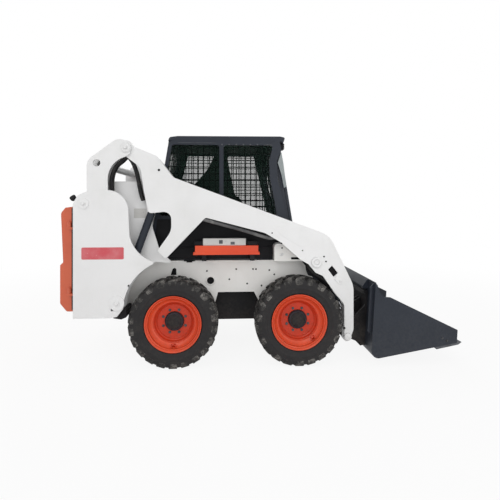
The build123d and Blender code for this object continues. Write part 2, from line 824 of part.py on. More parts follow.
pieces["lift_barrels"], pieces["lift_rods"] = cylinder_pair(
    (lift_base_x, lift_base_z), (lift_eye_x, lift_eye_z), cylinder_y,
    lift_barrel_radius, lift_rod_radius, lift_eye_radius, lift_pin_radius, 60,
    lift_closed, lift_open,
)
pieces["tilt_barrels"], pieces["tilt_rods"] = cylinder_pair(
    (tilt_base_x, tilt_base_z), (tilt_eye_x, tilt_eye_z), tilt_y,
    tilt_barrel_radius, tilt_rod_radius, tilt_eye_radius, tilt_pin_radius, tilt_eye_width,
    tilt_closed, tilt_open,
)

# ---- Coupler and bucket ---------------------------------------------------------------
back_lean = math.radians(86.4)  # the bucket's back, from level
up_x, up_z = math.cos(back_lean), math.sin(back_lean)


def on_back(up, out):
    """Point on the bucket's back: up from the heel, and out behind it."""
    return (heel_x + up * up_x - out * up_z, heel_z + up * up_z + out * up_x)


coupler_steel = 16.0
ear_y = arm_y - arm_width - plate  # outer face of the coupler's ears
ear_steel = 26.0
with BuildPart() as coupler:
    with BuildSketch(side_plane(-ear_y)):
        with BuildLine():
            Polyline(
                on_back(70, 0), on_back(545, 0), on_back(560, 30), on_back(545, 42),
                on_back(500, coupler_steel), on_back(120, coupler_steel), on_back(72, 52),
                on_back(60, 40), close=True,
            )
        make_face()
    extrude(amount=-2 * ear_y)
    for side in (1, -1):
        # ear that carries the arm's pin
        with BuildSketch(side_plane(side * (ear_y - ear_steel / 2))):
            with BuildLine():
                Polyline(
                    (hinge_x - 22, hinge_z + 31), on_back(420, coupler_steel - 1), on_back(420, 2),
                    on_back(90, 2), on_back(90, 50), (hinge_x + 14, hinge_z - 35), close=True,
                )
            make_face()
            with Locations((hinge_x, hinge_z)):
                Circle(ear_radius)
        extrude(amount=ear_steel / 2, both=True)
        # hinge pin through the arm, with its outer cap
        with BuildSketch(side_plane(side * (ear_y - ear_steel))):
            with Locations((hinge_x, hinge_z)):
                Circle(hinge_radius)
        extrude(amount=-side * (arm_y + 2 - ear_y + ear_steel))
        with BuildSketch(side_plane(side * (arm_y + 2))):
            with Locations((hinge_x, hinge_z)):
                Circle(hinge_radius + 12)
        extrude(amount=-side * 6)
        # lugs for the tilt cylinder's rod
        for cheek in (-1, 1):
            middle = side * (tilt_y + cheek * (tilt_slot + tilt_lug / 2))
            with BuildSketch(side_plane(middle)):
                with BuildLine():
                    Polyline(
                        (tilt_eye_x - 22, tilt_eye_z + 24), on_back(460, coupler_steel - 1),
                        on_back(460, 2), on_back(230, 2), (tilt_eye_x - 8, tilt_eye_z - 33), close=True,
                    )
                make_face()
                with Locations((tilt_eye_x, tilt_eye_z)):
                    Circle(tilt_eye_radius + 4)
            extrude(amount=tilt_lug / 2, both=True)
            with BuildSketch(side_plane(middle)):
                with Locations((tilt_eye_x, tilt_eye_z)):
                    Circle(tilt_pin_radius)
            extrude(amount=tilt_lug / 2 + 1.5, both=True)
pieces["coupler_frame"] = coupler


def floor_z(x):
    """Height of the underside of the bucket's floor."""
    return heel_z + (x - heel_x) * math.tan(math.radians(floor_angle))


side_foot_x = front_reach - side_setback
bucket_profile = [  # x, z: the side plate's outline
    (heel_x, heel_z),
    (side_foot_x, floor_z(side_foot_x)),
    (side_foot_x + 7, 303),
    (heel_x + 168, 588),
    (heel_x + 118, 592),
    (heel_x + 73, 632),
    on_back(back_height - 20, -18),
    on_back(back_height, 0),
]
with BuildPart() as bucket:
    # back and floor, one bent sheet
    with BuildSketch(side_plane(-(bucket_y - bucket_side))):
        with BuildLine():
            FilletPolyline(
                on_back(back_height, 0), (heel_x, heel_z),
                (front_reach - edge_depth / 2, floor_z(front_reach - edge_depth / 2)),
                radius=heel_radius,
            )
            offset(amount=bucket_steel, side=Side.LEFT)
        make_face()
    extrude(amount=-2 * (bucket_y - bucket_side))
    for side in (1, -1):
        with BuildSketch(side_plane(side * (bucket_y - bucket_side))):
            with BuildLine():
                FilletPolyline(
                    bucket_profile, radius=[heel_radius, 0, 8, 30, 30, 60, 4, 0], close=True,
                )
            make_face()
        extrude(amount=-side * bucket_side)
        # rib behind the back sheet, outboard of the lift arm
        with BuildSketch(side_plane(side * (arm_y + 30))):
            with BuildLine():
                Polyline(
                    on_back(200, -1), on_back(230, rib_depth), on_back(back_height - 50, rib_depth),
                    on_back(back_height - 10, -1), close=True,
                )
            make_face()
        extrude(amount=bucket_steel / 2, both=True)
    # bar along the top edge, over the coupler
    with BuildSketch(side_plane(-(ear_y - plate))):
        with BuildLine():
            Polyline(
                on_back(564, -1), on_back(564, 46), on_back(580, 48), on_back(back_height - 5, 10),
                on_back(back_height - 5, -1), close=True,
            )
        make_face()
    extrude(amount=-2 * (ear_y - plate))
pieces["bucket"] = bucket

edge_rear_x = front_reach - edge_depth
with BuildPart() as cutting_edge:
    with BuildSketch(side_plane(-bucket_y)):
        with BuildLine():
            Polyline(
                (edge_rear_x, floor_z(edge_rear_x)),
                (front_reach, floor_z(front_reach)),
                (front_reach - 30, floor_z(front_reach - 30) - 0.8 * edge_steel),
                (edge_rear_x + 4, floor_z(edge_rear_x + 4) - edge_steel),
                close=True,
            )
        make_face()
    extrude(amount=-2 * bucket_y)
pieces["cutting_edge"] = cutting_edge

# ---- Cab ------------------------------------------------------------------------------
rear_bend_z = roof_low - 200  # where the cab's back leans further forward
brow_z = roof_low - 176  # foot of the brow over the door
cab_outline = [  # x, z, corner radius
    (-796, cab_low, 0),
    (-632, rear_bend_z, 60),
    (-600, roof_low - 10, 30),
    (-560, roof_low, 0),
    (396, roof_low, 0),
    (412, roof_low - 80, 20),
    (371, brow_z, 20),
    (380, brow_z - 172, 60),
    (402, brow_z - 262, 100),
    (450, brow_z - 452, 60),
    (500, cab_low, 0),
]
window_top = roof_low - 35
window_low = roof_low - 670
rear_window = [(-570, window_top), (-150, window_top), (-150, window_low), (-690, window_low)]
front_window = [
    (-112, window_top), (335, window_top), (300, brow_z), (310, brow_z - 172), (330, brow_z - 262),
    (370, window_low), (-112, window_low),
]
with BuildPart() as cab_side_right:
    with BuildSketch(side_plane(-(cab_y - cab_wall))):
        with BuildLine():
            FilletPolyline(
                [(x, z) for x, z, radius in cab_outline],
                radius=[radius for x, z, radius in cab_outline],
                close=True,
            )
        make_face()
        for window in (rear_window, front_window):
            with BuildLine():
                FilletPolyline(window, radius=24, close=True)
            make_face(mode=Mode.SUBTRACT)
    extrude(amount=cab_wall)
add_pair("cab_side", cab_side_right)

screen_y = cab_y - cab_wall + 12
screen_wire = 4.0
with BuildPart() as side_screens:
    for side in (1, -1):
        for window in (rear_window, front_window):
            with BuildSketch(side_plane(side * screen_y)):
                with BuildLine():
                    FilletPolyline(window, radius=24, close=True)
                make_face()
                with Locations((-131, roof_low - 352)):
                    with GridLocations(53, 60, 22, 12):
                        Rectangle(45, 52, mode=Mode.SUBTRACT)
            extrude(amount=side * screen_wire)
pieces["side_screens"] = side_screens

with BuildPart() as cab_roof:
    with BuildSketch(side_plane(-cab_y)):
        with BuildLine():
            FilletPolyline(
                (-604, roof_low), (-592, cab_top - 14), (-520, cab_top - 4), (400, cab_top),
                (446, cab_top - 10), (425, roof_low - 22), (412, roof_low),
                radius=[0, 20, 30, 20, 14, 0, 0], close=True,
            )
        make_face()
    extrude(amount=-2 * cab_y)
    with BuildSketch(side_plane(-(cab_y - cab_wall))):
        with BuildLine():
            Polyline(
                (-560, roof_low - 1), (-560, roof_low + 16), (380, roof_low + 20),
                (380, roof_low - 1), close=True,
            )
        make_face()
    extrude(amount=-2 * (cab_y - cab_wall), mode=Mode.SUBTRACT)
pieces["cab_roof"] = cab_roof

cab_in = cab_y - cab_wall
with BuildPart() as cab_rear:
    with BuildSketch(side_plane(-cab_in)):
        with BuildLine():
            Polyline(
                (-796, cab_low), (-632, rear_bend_z), (-604, roof_low),
                (-584, roof_low), (-612, rear_bend_z - 2), (-776, cab_low), close=True,
            )
        make_face()
    extrude(amount=-2 * cab_in)
    with Locations(at(-660, 0, roof_low - 345)):
        Box(200, 600, 530, mode=Mode.SUBTRACT)
    for side in (1, -1):
        for cheek in (-1, 1):
            with BuildSketch(side_plane(side * cab_ear_y + cheek * 15)):
                with Locations((cab_pivot_x, cab_pivot_z)):
                    Circle(18)
            extrude(amount=5, both=True)
        with BuildSketch(side_plane(side * cab_ear_y)):
            with Locations((cab_pivot_x, cab_pivot_z)):
                Circle(cab_pin_radius + pin_gap)
        extrude(amount=30, both=True, mode=Mode.SUBTRACT)
        with BuildSketch(side_plane(side * cab_ear_y)):
            with Locations((cab_pivot_x, cab_pivot_z)):
                Circle(30)
        extrude(amount=9, both=True, mode=Mode.SUBTRACT)
pieces["cab_rear"] = cab_rear

door_up_x = -math.sin(math.radians(door_lean))
door_up_z = math.cos(math.radians(door_lean))
door_height = (roof_low - door_top_gap - door_foot_z) / door_up_z
door_plane = Plane(
    origin=at(door_foot_x, 0, door_foot_z), x_dir=(0, 1, 0), z_dir=(door_up_z, 0, -door_up_x)
)
door_axis_plane = Plane(
    origin=door_plane.from_local_coords((door_hinge_y, 0, -door_steel / 2)),
    x_dir=(0, 1, 0),
    z_dir=(door_up_x, 0, door_up_z),
)
with BuildPart() as cab_front:
    with BuildSketch(door_plane.offset(-door_steel - 6)):
        with Locations((0, door_height / 2 + 10)):
            Rectangle(2 * cab_in, door_height + 60)
        with Locations((0, door_height / 2)):
            Rectangle(2 * cab_in - 110, door_height - 90, mode=Mode.SUBTRACT)
    extrude(amount=-34)
    # hinge lugs and pins for the door
    for hinge_up in door_hinges:
        for end in (-1, 1):
            with BuildSketch(door_plane.offset(-door_steel / 2 + 10)):
                with Locations((door_hinge_y - 1, hinge_up + end * 32)):
                    Rectangle(22, 22)
            extrude(amount=-door_steel / 2 - 18)
        with BuildSketch(door_axis_plane.offset(hinge_up - 40)):
            Circle(door_pin_radius)
        extrude(amount=80)
pieces["cab_front"] = cab_front

with BuildPart() as cab_door:
    with BuildSketch(door_plane):
        with Locations((0, door_height / 2)):
            RectangleRounded(2 * door_y, door_height, 40)
            RectangleRounded(2 * door_y - 100, door_height - 100, 30, mode=Mode.SUBTRACT)
    extrude(amount=-door_steel)
    with BuildSketch(door_plane.offset(-8)):
        with Locations((0, door_height / 2)):
            RectangleRounded(2 * door_y - 70, door_height - 70, 30)
    extrude(amount=-door_steel, mode=Mode.SUBTRACT)
    for hinge_up in door_hinges:
        with BuildSketch(door_axis_plane.offset(hinge_up - 20)):
            Circle(10)
            with Locations((-10, 0)):
                Rectangle(20, 12)
            Circle(door_pin_radius + pin_gap, mode=Mode.SUBTRACT)
        extrude(amount=40)
pieces["cab_door"] = cab_door

with BuildPart() as door_glass:
    with BuildSketch(door_plane.offset(-8)):
        with Locations((0, door_height / 2)):
            RectangleRounded(2 * door_y - 71, door_height - 71, 30)
    extrude(amount=-6)
pieces["door_glass"] = door_glass

with BuildPart() as rear_glass:
    with BuildSketch(side_plane(-300 + curve_gap)):
        with BuildLine():
            Polyline(
                (-708, roof_low - 609), (-612, roof_low - 81), (-606, roof_low - 81),
                (-702, roof_low - 609), close=True,
            )
        make_face()
    extrude(amount=-2 * (300 - curve_gap))
pieces["rear_glass"] = rear_glass

seat_low = cab_low + 200
seat_half = 240.0
with BuildPart() as seat:
    with BuildSketch(side_plane(-seat_half)):
        with BuildLine():
            FilletPolyline(
                (-480, seat_low), (20, seat_low), (20, seat_low + 100), (-300, seat_low + 90),
                (-390, seat_low + 540), (-500, seat_low + 520),
                radius=[0, 30, 40, 60, 40, 40], close=True,
            )
        make_face()
    extrude(amount=-2 * seat_half)
pieces["seat"] = seat

with BuildPart() as seat_pan:
    box_between((-600, -cab_in, seat_low - 20), (60, cab_in, seat_low))
pieces["seat_pan"] = seat_pan

seat_bar_x, seat_bar_z = -131.0, 1440.0
bar_radius = 14.0
bar_y = 330.0
with BuildPart() as seat_bar:
    for side in (1, -1):
        with BuildSketch(side_plane(side * bar_y)):
            with BuildLine():
                Polyline((seat_bar_x, seat_bar_z), (20, 1430), (110, 1290))
                offset(amount=bar_radius)
            make_face()
        extrude(amount=bar_radius, both=True)
        with BuildSketch(side_plane(side * bar_y)):
            with Locations((seat_bar_x, seat_bar_z)):
                Circle(26)
        extrude(amount=bar_radius, both=True)
        with BuildSketch(side_plane(side * bar_y)):
            with Locations((seat_bar_x, seat_bar_z)):
                Circle(12 + pin_gap)
        extrude(amount=bar_radius, both=True, mode=Mode.SUBTRACT)
    with BuildSketch(side_plane(-bar_y)):
        with Locations((110, 1290)):
            Circle(bar_radius + 4)
    extrude(amount=-2 * bar_y)
pieces["seat_bar"] = seat_bar

with BuildPart() as bar_mounts:
    for side in (1, -1):
        with BuildSketch(side_plane(side * (bar_y - bar_radius))):
            with Locations((seat_bar_x, seat_bar_z)):
                Circle(12)
        extrude(amount=-side * (cab_in - bar_y + bar_radius))
pieces["seat_bar_mounts"] = bar_mounts

with BuildPart() as cab_lamps:
    for side in (1, -1):
        near, far = sorted((side * (cab_in - 11), side * (cab_in - 121)))
        box_between((401, near, lamp_low), (447, far, roof_low - 9))
    add(cab_roof.part, mode=Mode.SUBTRACT)
pieces["cab_lamps"] = cab_lamps

# ---- Operator's station on the chassis --------------------------------------------------
foot_floor_top = 788.0
foot_floor_rear_x = 260.0
foot_floor_low = foot_floor_top - gap
with BuildPart() as foot_floor:
    box_between((foot_floor_rear_x, -inside, foot_floor_low), (570, inside, foot_floor_top))
    box_between(
        (foot_floor_rear_x, -inside, deck_low + sheet),
        (foot_floor_rear_x + gap, inside, foot_floor_low),
    )
pieces["foot_floor"] = foot_floor

lever_y, pedal_y = 170.0, 110.0
lever_radius = 11.0
with BuildPart() as control_levers:
    for side in (1, -1):
        with Locations(at(330, side * lever_y, foot_floor_top + 10)):
            Box(90, 60, 20)
        with BuildSketch(side_plane(side * lever_y)):
            with BuildLine():
                Polyline((330, foot_floor_top + 18), (300, 1020), (300, 1230))
                offset(amount=lever_radius)
            make_face()
        extrude(amount=lever_radius, both=True)
        with Locations(at(430, side * pedal_y, foot_floor_top + 8)):
            Box(110, 80, 16)
pieces["control_levers"] = control_levers

support_low, support_high = 934.0, 1012.0
with BuildPart() as arm_support:
    with BuildSketch(side_plane(-540)):
        with Locations((-78, (support_low + support_high) / 2)):
            Rectangle(560, support_high - support_low)
    extrude(amount=60)
    with BuildSketch(side_plane(-540 - plate)):
        with Locations((-78, (support_low + support_high) / 2)):
            Rectangle(562, support_high - support_low - 2 * plate)
    extrude(amount=60, mode=Mode.SUBTRACT)
    # brackets down to the chassis side
    for bracket_x in (-300, 120):
        box_between((bracket_x, -600, 900), (bracket_x + 40, -body_y, support_low))
        box_between((bracket_x, -body_y - plate, 840), (bracket_x + 40, -body_y, 900))
pieces["arm_support"] = arm_support

for name, piece in pieces.items():
    piece.part.label = name
    export_step(piece.part, f"parts/{name}.step")
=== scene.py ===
"""Finish and fittings of a skid steer loader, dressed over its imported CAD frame.

X points forward, Y to the operator's left and Z up. Shapes are drawn in millimetres from the
middle of the wheelbase on the ground, and Workshop.settle puts them in the model's frame.
"""

from __future__ import annotations

import json
import logging
import math
from collections.abc import Sequence
from dataclasses import dataclass, field
from enum import Enum
from typing import Any

import bmesh
import bpy
from mathutils import Matrix, Vector

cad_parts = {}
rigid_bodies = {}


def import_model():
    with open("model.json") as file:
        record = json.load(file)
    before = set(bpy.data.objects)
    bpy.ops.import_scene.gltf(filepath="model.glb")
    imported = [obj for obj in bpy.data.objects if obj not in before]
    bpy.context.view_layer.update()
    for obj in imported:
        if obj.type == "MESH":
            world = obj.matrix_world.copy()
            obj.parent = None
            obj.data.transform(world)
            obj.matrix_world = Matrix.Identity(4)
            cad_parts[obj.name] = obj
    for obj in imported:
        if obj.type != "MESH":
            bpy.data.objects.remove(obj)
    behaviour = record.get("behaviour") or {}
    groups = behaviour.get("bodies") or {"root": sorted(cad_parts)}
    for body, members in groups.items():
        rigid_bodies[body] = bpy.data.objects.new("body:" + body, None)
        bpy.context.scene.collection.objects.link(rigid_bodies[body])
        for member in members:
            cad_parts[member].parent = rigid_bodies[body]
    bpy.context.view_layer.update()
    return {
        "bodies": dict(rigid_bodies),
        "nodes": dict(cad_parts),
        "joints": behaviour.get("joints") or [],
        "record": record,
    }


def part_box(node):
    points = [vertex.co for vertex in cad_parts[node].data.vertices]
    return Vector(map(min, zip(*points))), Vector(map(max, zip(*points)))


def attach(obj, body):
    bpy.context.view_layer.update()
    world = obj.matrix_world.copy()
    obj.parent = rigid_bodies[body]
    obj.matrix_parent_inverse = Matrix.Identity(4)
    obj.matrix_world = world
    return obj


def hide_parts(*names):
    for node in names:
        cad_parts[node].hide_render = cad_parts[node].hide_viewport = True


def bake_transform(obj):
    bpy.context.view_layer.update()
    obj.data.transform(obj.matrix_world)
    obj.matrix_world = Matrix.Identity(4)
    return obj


log = logging.getLogger("loader")
Colour = tuple[float, float, float]
Point = tuple[float, float, float]
Spot = tuple[float, float]
Profile = tuple[Spot, ...]
Outline = tuple[Point, ...]  # x, z and radius of each corner
RIGHT, LEFT = -1, 1
SIDES = ((RIGHT, "right"), (LEFT, "left"))
MM = 0.001
CREASE = 35.0  # edges sharper than this many degrees stay edges


def shade(red: int, green: int, blue: int) -> Colour:
    """Turns a screen colour, 0 to 255, into the linear one that the shaders take.

    Args:
        red: Red part.
        green: Green part.
        blue: Blue part.

    Returns:
        The linear colour.
    """
    parts = (red / 255, green / 255, blue / 255)
    linear = [v / 12.92 if v < 0.04045 else ((v + 0.055) / 1.055) ** 2.4 for v in parts]
    return (linear[0], linear[1], linear[2])


class Corner(Enum):
    """The four wheels: their name's ending and the side of the machine they stand on."""

    REAR_RIGHT = ("rear_right", RIGHT)
    FRONT_RIGHT = ("front_right", RIGHT)
    REAR_LEFT = ("rear_left", LEFT)
    FRONT_LEFT = ("front_left", LEFT)


# ---- Node graphs ------------------------------------------------------------------------


class Signal:
    """An output socket that takes part in Python arithmetic."""

    def __init__(self, graph: Graph, socket: bpy.types.NodeSocket) -> None:
        """Wraps one output socket of a graph."""
        self.graph = graph
        self.socket = socket

    def _math(self, operation: str, *values: Any, clamp: bool = False) -> Signal:
        """Adds a Math node.

        Args:
            operation: The node's operation.
            values: What its sockets take, in order.
            clamp: Whether the result is kept between 0 and 1.

        Returns:
            The node's result.
        """
        settings = {"operation": operation, "use_clamp": clamp}
        return self.graph.node("ShaderNodeMath", settings, dict(enumerate(values)))

    def __add__(self, other: Any) -> Signal:
        """Sum."""
        return self._math("ADD", self, other)

    def __sub__(self, other: Any) -> Signal:
        """Difference."""
        return self._math("SUBTRACT", self, other)

    def __rsub__(self, other: Any) -> Signal:
        """Difference from a number."""
        return self._math("SUBTRACT", other, self)

    def __mul__(self, other: Any) -> Signal:
        """Product."""
        return self._math("MULTIPLY", self, other)

    def __pow__(self, other: Any) -> Signal:
        """Power."""
        return self._math("POWER", self, other)

    __radd__ = __add__
    __rmul__ = __mul__

    def capped(self) -> Signal:
        """The value kept between 0 and 1."""
        return self._math("ADD", self, 0.0, clamp=True)

    def sine(self) -> Signal:
        """Sine of the value."""
        return self._math("SINE", self)

    def step(self, low: float, high: float) -> Signal:
        """Smooth ramp from 0 at low to 1 at high, which may be the smaller."""
        sockets = {"Value": self, "From Min": low, "From Max": high}
        return self.graph.node("ShaderNodeMapRange", {"interpolation_type": "SMOOTHSTEP"}, sockets)


class Graph:
    """Adds nodes to a material's or a modifier's tree."""

    def __init__(self, tree: bpy.types.NodeTree) -> None:
        """Starts on an empty tree."""
        self.tree = tree
        tree.nodes.clear()

    def node(
        self,
        kind: str,
        settings: dict[str, Any] | None = None,
        sockets: dict[Any, Any] | None = None,
        output: int | str = 0,
    ) -> Signal:
        """Adds one node.

        Args:
            kind: The node's type.
            settings: The node's own properties, set before its sockets.
            sockets: Values or signals for its inputs, by name or by place.
            output: Which output is returned.

        Returns:
            The chosen output.
        """
        made = self.tree.nodes.new(kind)
        for name, value in (settings or {}).items():
            setattr(made, name, value)
        for name, value in (sockets or {}).items():
            socket = made.inputs[name]
            if isinstance(value, Signal):
                self.tree.links.new(value.socket, socket)
            else:
                socket.default_value = value
        if not made.outputs:
            return Signal(self, made.inputs[0])
        return Signal(self, made.outputs[output])

    def blend(self, factor: Any, first: Any, second: Any) -> Signal:
        """Mixes two colours.

        Args:
            factor: How much of the second shows, from 0 to 1.
            first: A colour, or a signal that carries one.
            second: The colour that covers it.

        Returns:
            The mixed colour.
        """
        made = self.tree.nodes.new("ShaderNodeMix")
        made.data_type = "RGBA"
        chosen = {0: factor, 6: first, 7: second}
        for place, value in chosen.items():
            if isinstance(value, Signal):
                self.tree.links.new(value.socket, made.inputs[place])
            elif place:
                made.inputs[place].default_value = (*value, 1.0)
            else:
                made.inputs[place].default_value = value
        return Signal(self, made.outputs[2])


class ShaderGraph(Graph):
    """A material's tree, with the patterns that the finishes share."""

    def __init__(self, name: str) -> None:
        """Makes the material and finds the surface's own coordinates."""
        self.material = bpy.data.materials.new(name)
        self.material.use_nodes = True
        super().__init__(self.material.node_tree)
        self.place = self.node("ShaderNodeTexCoord", output="Object")
        self.height = self.axis("Z")

    def axis(self, letter: str) -> Signal:
        """One coordinate of the surface, in metres."""
        return self.node("ShaderNodeSeparateXYZ", None, {0: self.place}, letter)

    def noise(
        self, scale: float, detail: float = 4.0, rough: float = 0.55, stretch: Point = (1, 1, 1)
    ) -> Signal:
        """Cloudy noise.

        Args:
            scale: Cells per metre.
            detail: Octaves.
            rough: How strong the finer octaves are.
            stretch: Scale along each axis.

        Returns:
            A value around 0.5.
        """
        where = self.place
        if stretch != (1, 1, 1):
            where = self.node("ShaderNodeMapping", None, {"Vector": self.place, "Scale": stretch})
        sockets = {"Vector": where, "Scale": scale, "Detail": detail, "Roughness": rough}
        return self.node("ShaderNodeTexNoise", None, sockets, "Fac")

    def cells(self, scale: float) -> Signal:
        """Distance to the nearest of many scattered points."""
        sockets = {"Vector": self.place, "Scale": scale}
        return self.node("ShaderNodeTexVoronoi", None, sockets, "Distance")

    def bump(self, height: Signal, strength: float, distance: float, soften: float = 0.0) -> Signal:
        """Relief from a height.

        Args:
            height: The relief, from 0 to 1.
            strength: How much of it shows.
            distance: Its depth in metres.
            soften: Radius that rounds the edges under it, or 0.

        Returns:
            A normal.
        """
        sockets: dict[Any, Any] = {"Height": height, "Strength": strength, "Distance": distance}
        if soften:
            sockets["Normal"] = self.node("ShaderNodeBevel", {"samples": 4}, {"Radius": soften})
        return self.node("ShaderNodeBump", None, sockets)

    def surface(self, **sockets: Any) -> bpy.types.Material:
        """Ends the tree in a Principled shader.

        Args:
            sockets: Its inputs, with underscores for spaces.

        Returns:
            The finished material.
        """
        named = {name.replace("_", " "): value for name, value in sockets.items()}
        for name, value in named.items():
            if isinstance(value, tuple) and len(value) == 3:
                named[name] = (*value, 1.0)
        shader = self.node("ShaderNodeBsdfPrincipled", None, named)
        self.node("ShaderNodeOutputMaterial", None, {"Surface": shader})
        return self.material


# ---- Finishes ---------------------------------------------------------------------------


DUST_LINE = (0.75, 0.08)  # heights in metres between which dust sets in


@dataclass(frozen=True)
class Finish:
    """What all finishes have.

    Args:
        name: The material's name.
        slot: The record's slot that its pieces stand for.
        colour: Its clean colour.
    """

    name: str
    slot: str
    colour: Colour

    def build(self) -> bpy.types.Material:
        """Builds the material."""
        raise NotImplementedError(self.name)


@dataclass(frozen=True)
class Enamel(Finish):
    """Sprayed machine paint: slight ripple, drifting tone, dust low down and scuffed grit.

    Args:
        drift: The tone that it fades to in places.
        dirt: Colour of the dust and grime.
        dust: How much of the lowest half metre is dusted over.
        specks: How many small scuffs show.
        rough: Roughness of clean paint.
        coat: Strength of the clear coat.
        sheen: Strength of its mirror reflection.
    """

    drift: Colour
    dirt: Colour = shade(120, 112, 102)
    dust: float = 0.5
    specks: float = 0.5
    rough: float = 0.34
    coat: float = 0.25
    sheen: float = 0.5

    def build(self) -> bpy.types.Material:
        """Builds the material."""
        graph = ShaderGraph(self.name)
        clouds = graph.noise(2.2, 5.0, 0.6)
        fine = graph.noise(38.0, 6.0, 0.7)
        paint = graph.blend(clouds.step(0.35, 0.75), self.colour, self.drift)
        streaks = graph.noise(9.0, 5.0, 0.65, (1.0, 1.0, 0.12))
        low = graph.height.step(*DUST_LINE)
        grime = (low * self.dust * (clouds.step(0.3, 0.6) + 0.35) * fine.step(0.25, 0.7)).capped()
        runs = streaks.step(0.56, 0.76) * 0.22 * self.dust
        scuffs = graph.noise(85.0, 3.0, 0.75).step(0.7, 0.76) * 0.55 * self.specks
        covered = (grime + runs + scuffs).capped()
        shown = graph.blend(covered, paint, self.dirt)
        ripple = graph.noise(240.0, 2.0, 0.5)
        relief = (ripple * 0.25 + covered * 0.75).capped()
        return graph.surface(
            Base_Color=shown,
            Roughness=(covered * 0.45 + fine * 0.1 + (self.rough - 0.05)).capped(),
            Coat_Weight=(1 - covered) * self.coat,
            Coat_Roughness=0.12,
            Specular_IOR_Level=self.sheen,
            Normal=graph.bump(relief, 0.16, 0.0012, 0.0025),
        )


@dataclass(frozen=True)
class Rubber(Finish):
    """Tyre or hose rubber, greyed by dust on what stands proud.

    Args:
        dust: Colour of the dry mud and dust; on the tread partly a painted highlight.
        dusted: How much of it is dusted, from 0 to 1.
        grain: Depth of its surface grain in metres.
    """

    dust: Colour = shade(128, 120, 110)
    dusted: float = 0.5
    grain: float = 0.0012

    def build(self) -> bpy.types.Material:
        """Builds the material."""
        graph = ShaderGraph(self.name)
        patches = graph.noise(14.0, 6.0, 0.7)
        grit = graph.noise(120.0, 4.0, 0.75)
        crumbs = graph.cells(90.0).step(0.32, 0.1)
        cover = (patches.step(0.42, 0.72) * grit.step(0.35, 0.65) * self.dusted).capped()
        # pale crumbs: dust, and on the tread also painted highlight
        light = (crumbs * patches.step(0.5, 0.7) * 0.35 * self.dusted).capped()
        return graph.surface(
            Base_Color=graph.blend((cover + light).capped(), self.colour, self.dust),
            Roughness=(cover * 0.25 + grit * 0.12 + 0.55).capped(),
            Specular_IOR_Level=0.2,
            Normal=graph.bump((grit * 0.7 + cover * 0.3).capped(), 0.5, self.grain, 0.003),
        )


@dataclass(frozen=True)
class Metal(Finish):
    """Bare metal, from bright chrome to cast iron.

    Args:
        stain: Colour of its rust or oil film.
        stained: How much of it is stained, from 0 to 1.
        rough: Roughness where it is clean.
        relief: Depth of its surface in metres.
    """

    stain: Colour
    stained: float = 0.3
    rough: float = 0.3
    relief: float = 0.0006

    def build(self) -> bpy.types.Material:
        """Builds the material."""
        graph = ShaderGraph(self.name)
        brushed = graph.noise(60.0, 5.0, 0.7, (1.0, 1.0, 9.0))
        patches = graph.noise(11.0, 6.0, 0.68)
        stain = (patches.step(0.45, 0.7) * self.stained).capped()
        return graph.surface(
            Base_Color=graph.blend(stain, self.colour, self.stain),
            Metallic=1 - stain * 0.8,
            Roughness=(brushed * 0.16 + stain * 0.4 + (self.rough - 0.06)).capped(),
            Normal=graph.bump((brushed * 0.5 + patches * 0.5).capped(), 0.35, self.relief, 0.0015),
        )


@dataclass(frozen=True)
class Glass(Finish):
    """Tinted safety glass with a film of dust.

    Args:
        clear: Its alpha where it is clean.
        dusted: How strong its film of dust is.
        shine: How strongly it mirrors, from 0 to 1.
    """

    clear: float = 0.16
    dusted: float = 0.14
    shine: float = 1.0

    def build(self) -> bpy.types.Material:
        """Builds the material."""
        graph = ShaderGraph(self.name)
        film = graph.noise(7.0, 5.0, 0.65).step(0.4, 0.75)
        graph.material.surface_render_method = "BLENDED"
        return graph.surface(
            Base_Color=graph.blend(film * (self.dusted * 6), self.colour, shade(160, 165, 160)),
            Roughness=(film * 0.2 + 0.05).capped(),
            Alpha=(film * self.dusted + self.clear).capped(),
            Coat_Weight=(1 - film * 0.4) * self.shine,
            Specular_IOR_Level=self.shine * 0.5,
        )


@dataclass(frozen=True)
class Lens(Finish):
    """Moulded lamp lens with ribs across it.

    Args:
        rib: Ribs per metre.
    """

    rib: float = 900.0

    def build(self) -> bpy.types.Material:
        """Builds the material."""
        graph = ShaderGraph(self.name)
        ribs = (graph.axis("Y") * self.rib).sine() * 0.5 + 0.5
        film = graph.noise(30.0, 4.0, 0.6)
        return graph.surface(
            Base_Color=graph.blend(film * 0.25, self.colour, shade(150, 146, 140)),
            Roughness=(film * 0.2 + 0.08).capped(),
            Coat_Weight=1 - film * 0.3,
            Normal=graph.bump(ribs.capped(), 0.4, 0.0012),
        )


@dataclass(frozen=True)
class Vinyl(Finish):
    """Grained upholstery vinyl, rubbed smoother where it is sat on."""


    def build(self) -> bpy.types.Material:
        """Builds the material."""
        graph = ShaderGraph(self.name)
        grain = graph.cells(420.0)
        creases = graph.noise(26.0, 6.0, 0.7)
        worn = graph.noise(6.0, 4.0, 0.6).step(0.45, 0.7)
        return graph.surface(
            Base_Color=graph.blend(worn * 0.35, self.colour, shade(84, 82, 80)),
            Roughness=(creases * 0.15 + 0.5 - worn * 0.12).capped(),
            Normal=graph.bump((grain * 0.6 + creases * 0.4).capped(), 0.5, 0.0008),
        )


@dataclass(frozen=True)
class Label(Finish):
    """Printed vinyl label with no lettering, scuffed and faded in places.

    Args:
        under: What shows where it is worn through.
    """

    under: Colour

    def build(self) -> bpy.types.Material:
        """Builds the material."""
        graph = ShaderGraph(self.name)
        wear = graph.noise(55.0, 5.0, 0.7).step(0.62, 0.72) * 0.6
        fade = graph.noise(8.0, 4.0, 0.6).step(0.3, 0.8) * 0.2
        return graph.surface(
            Base_Color=graph.blend((wear + fade).capped(), self.colour, self.under),
            Roughness=(wear * 0.3 + 0.38).capped(),
            Coat_Weight=(1 - wear) * 0.3,
            Normal=graph.bump(wear, 0.2, 0.0004),
        )


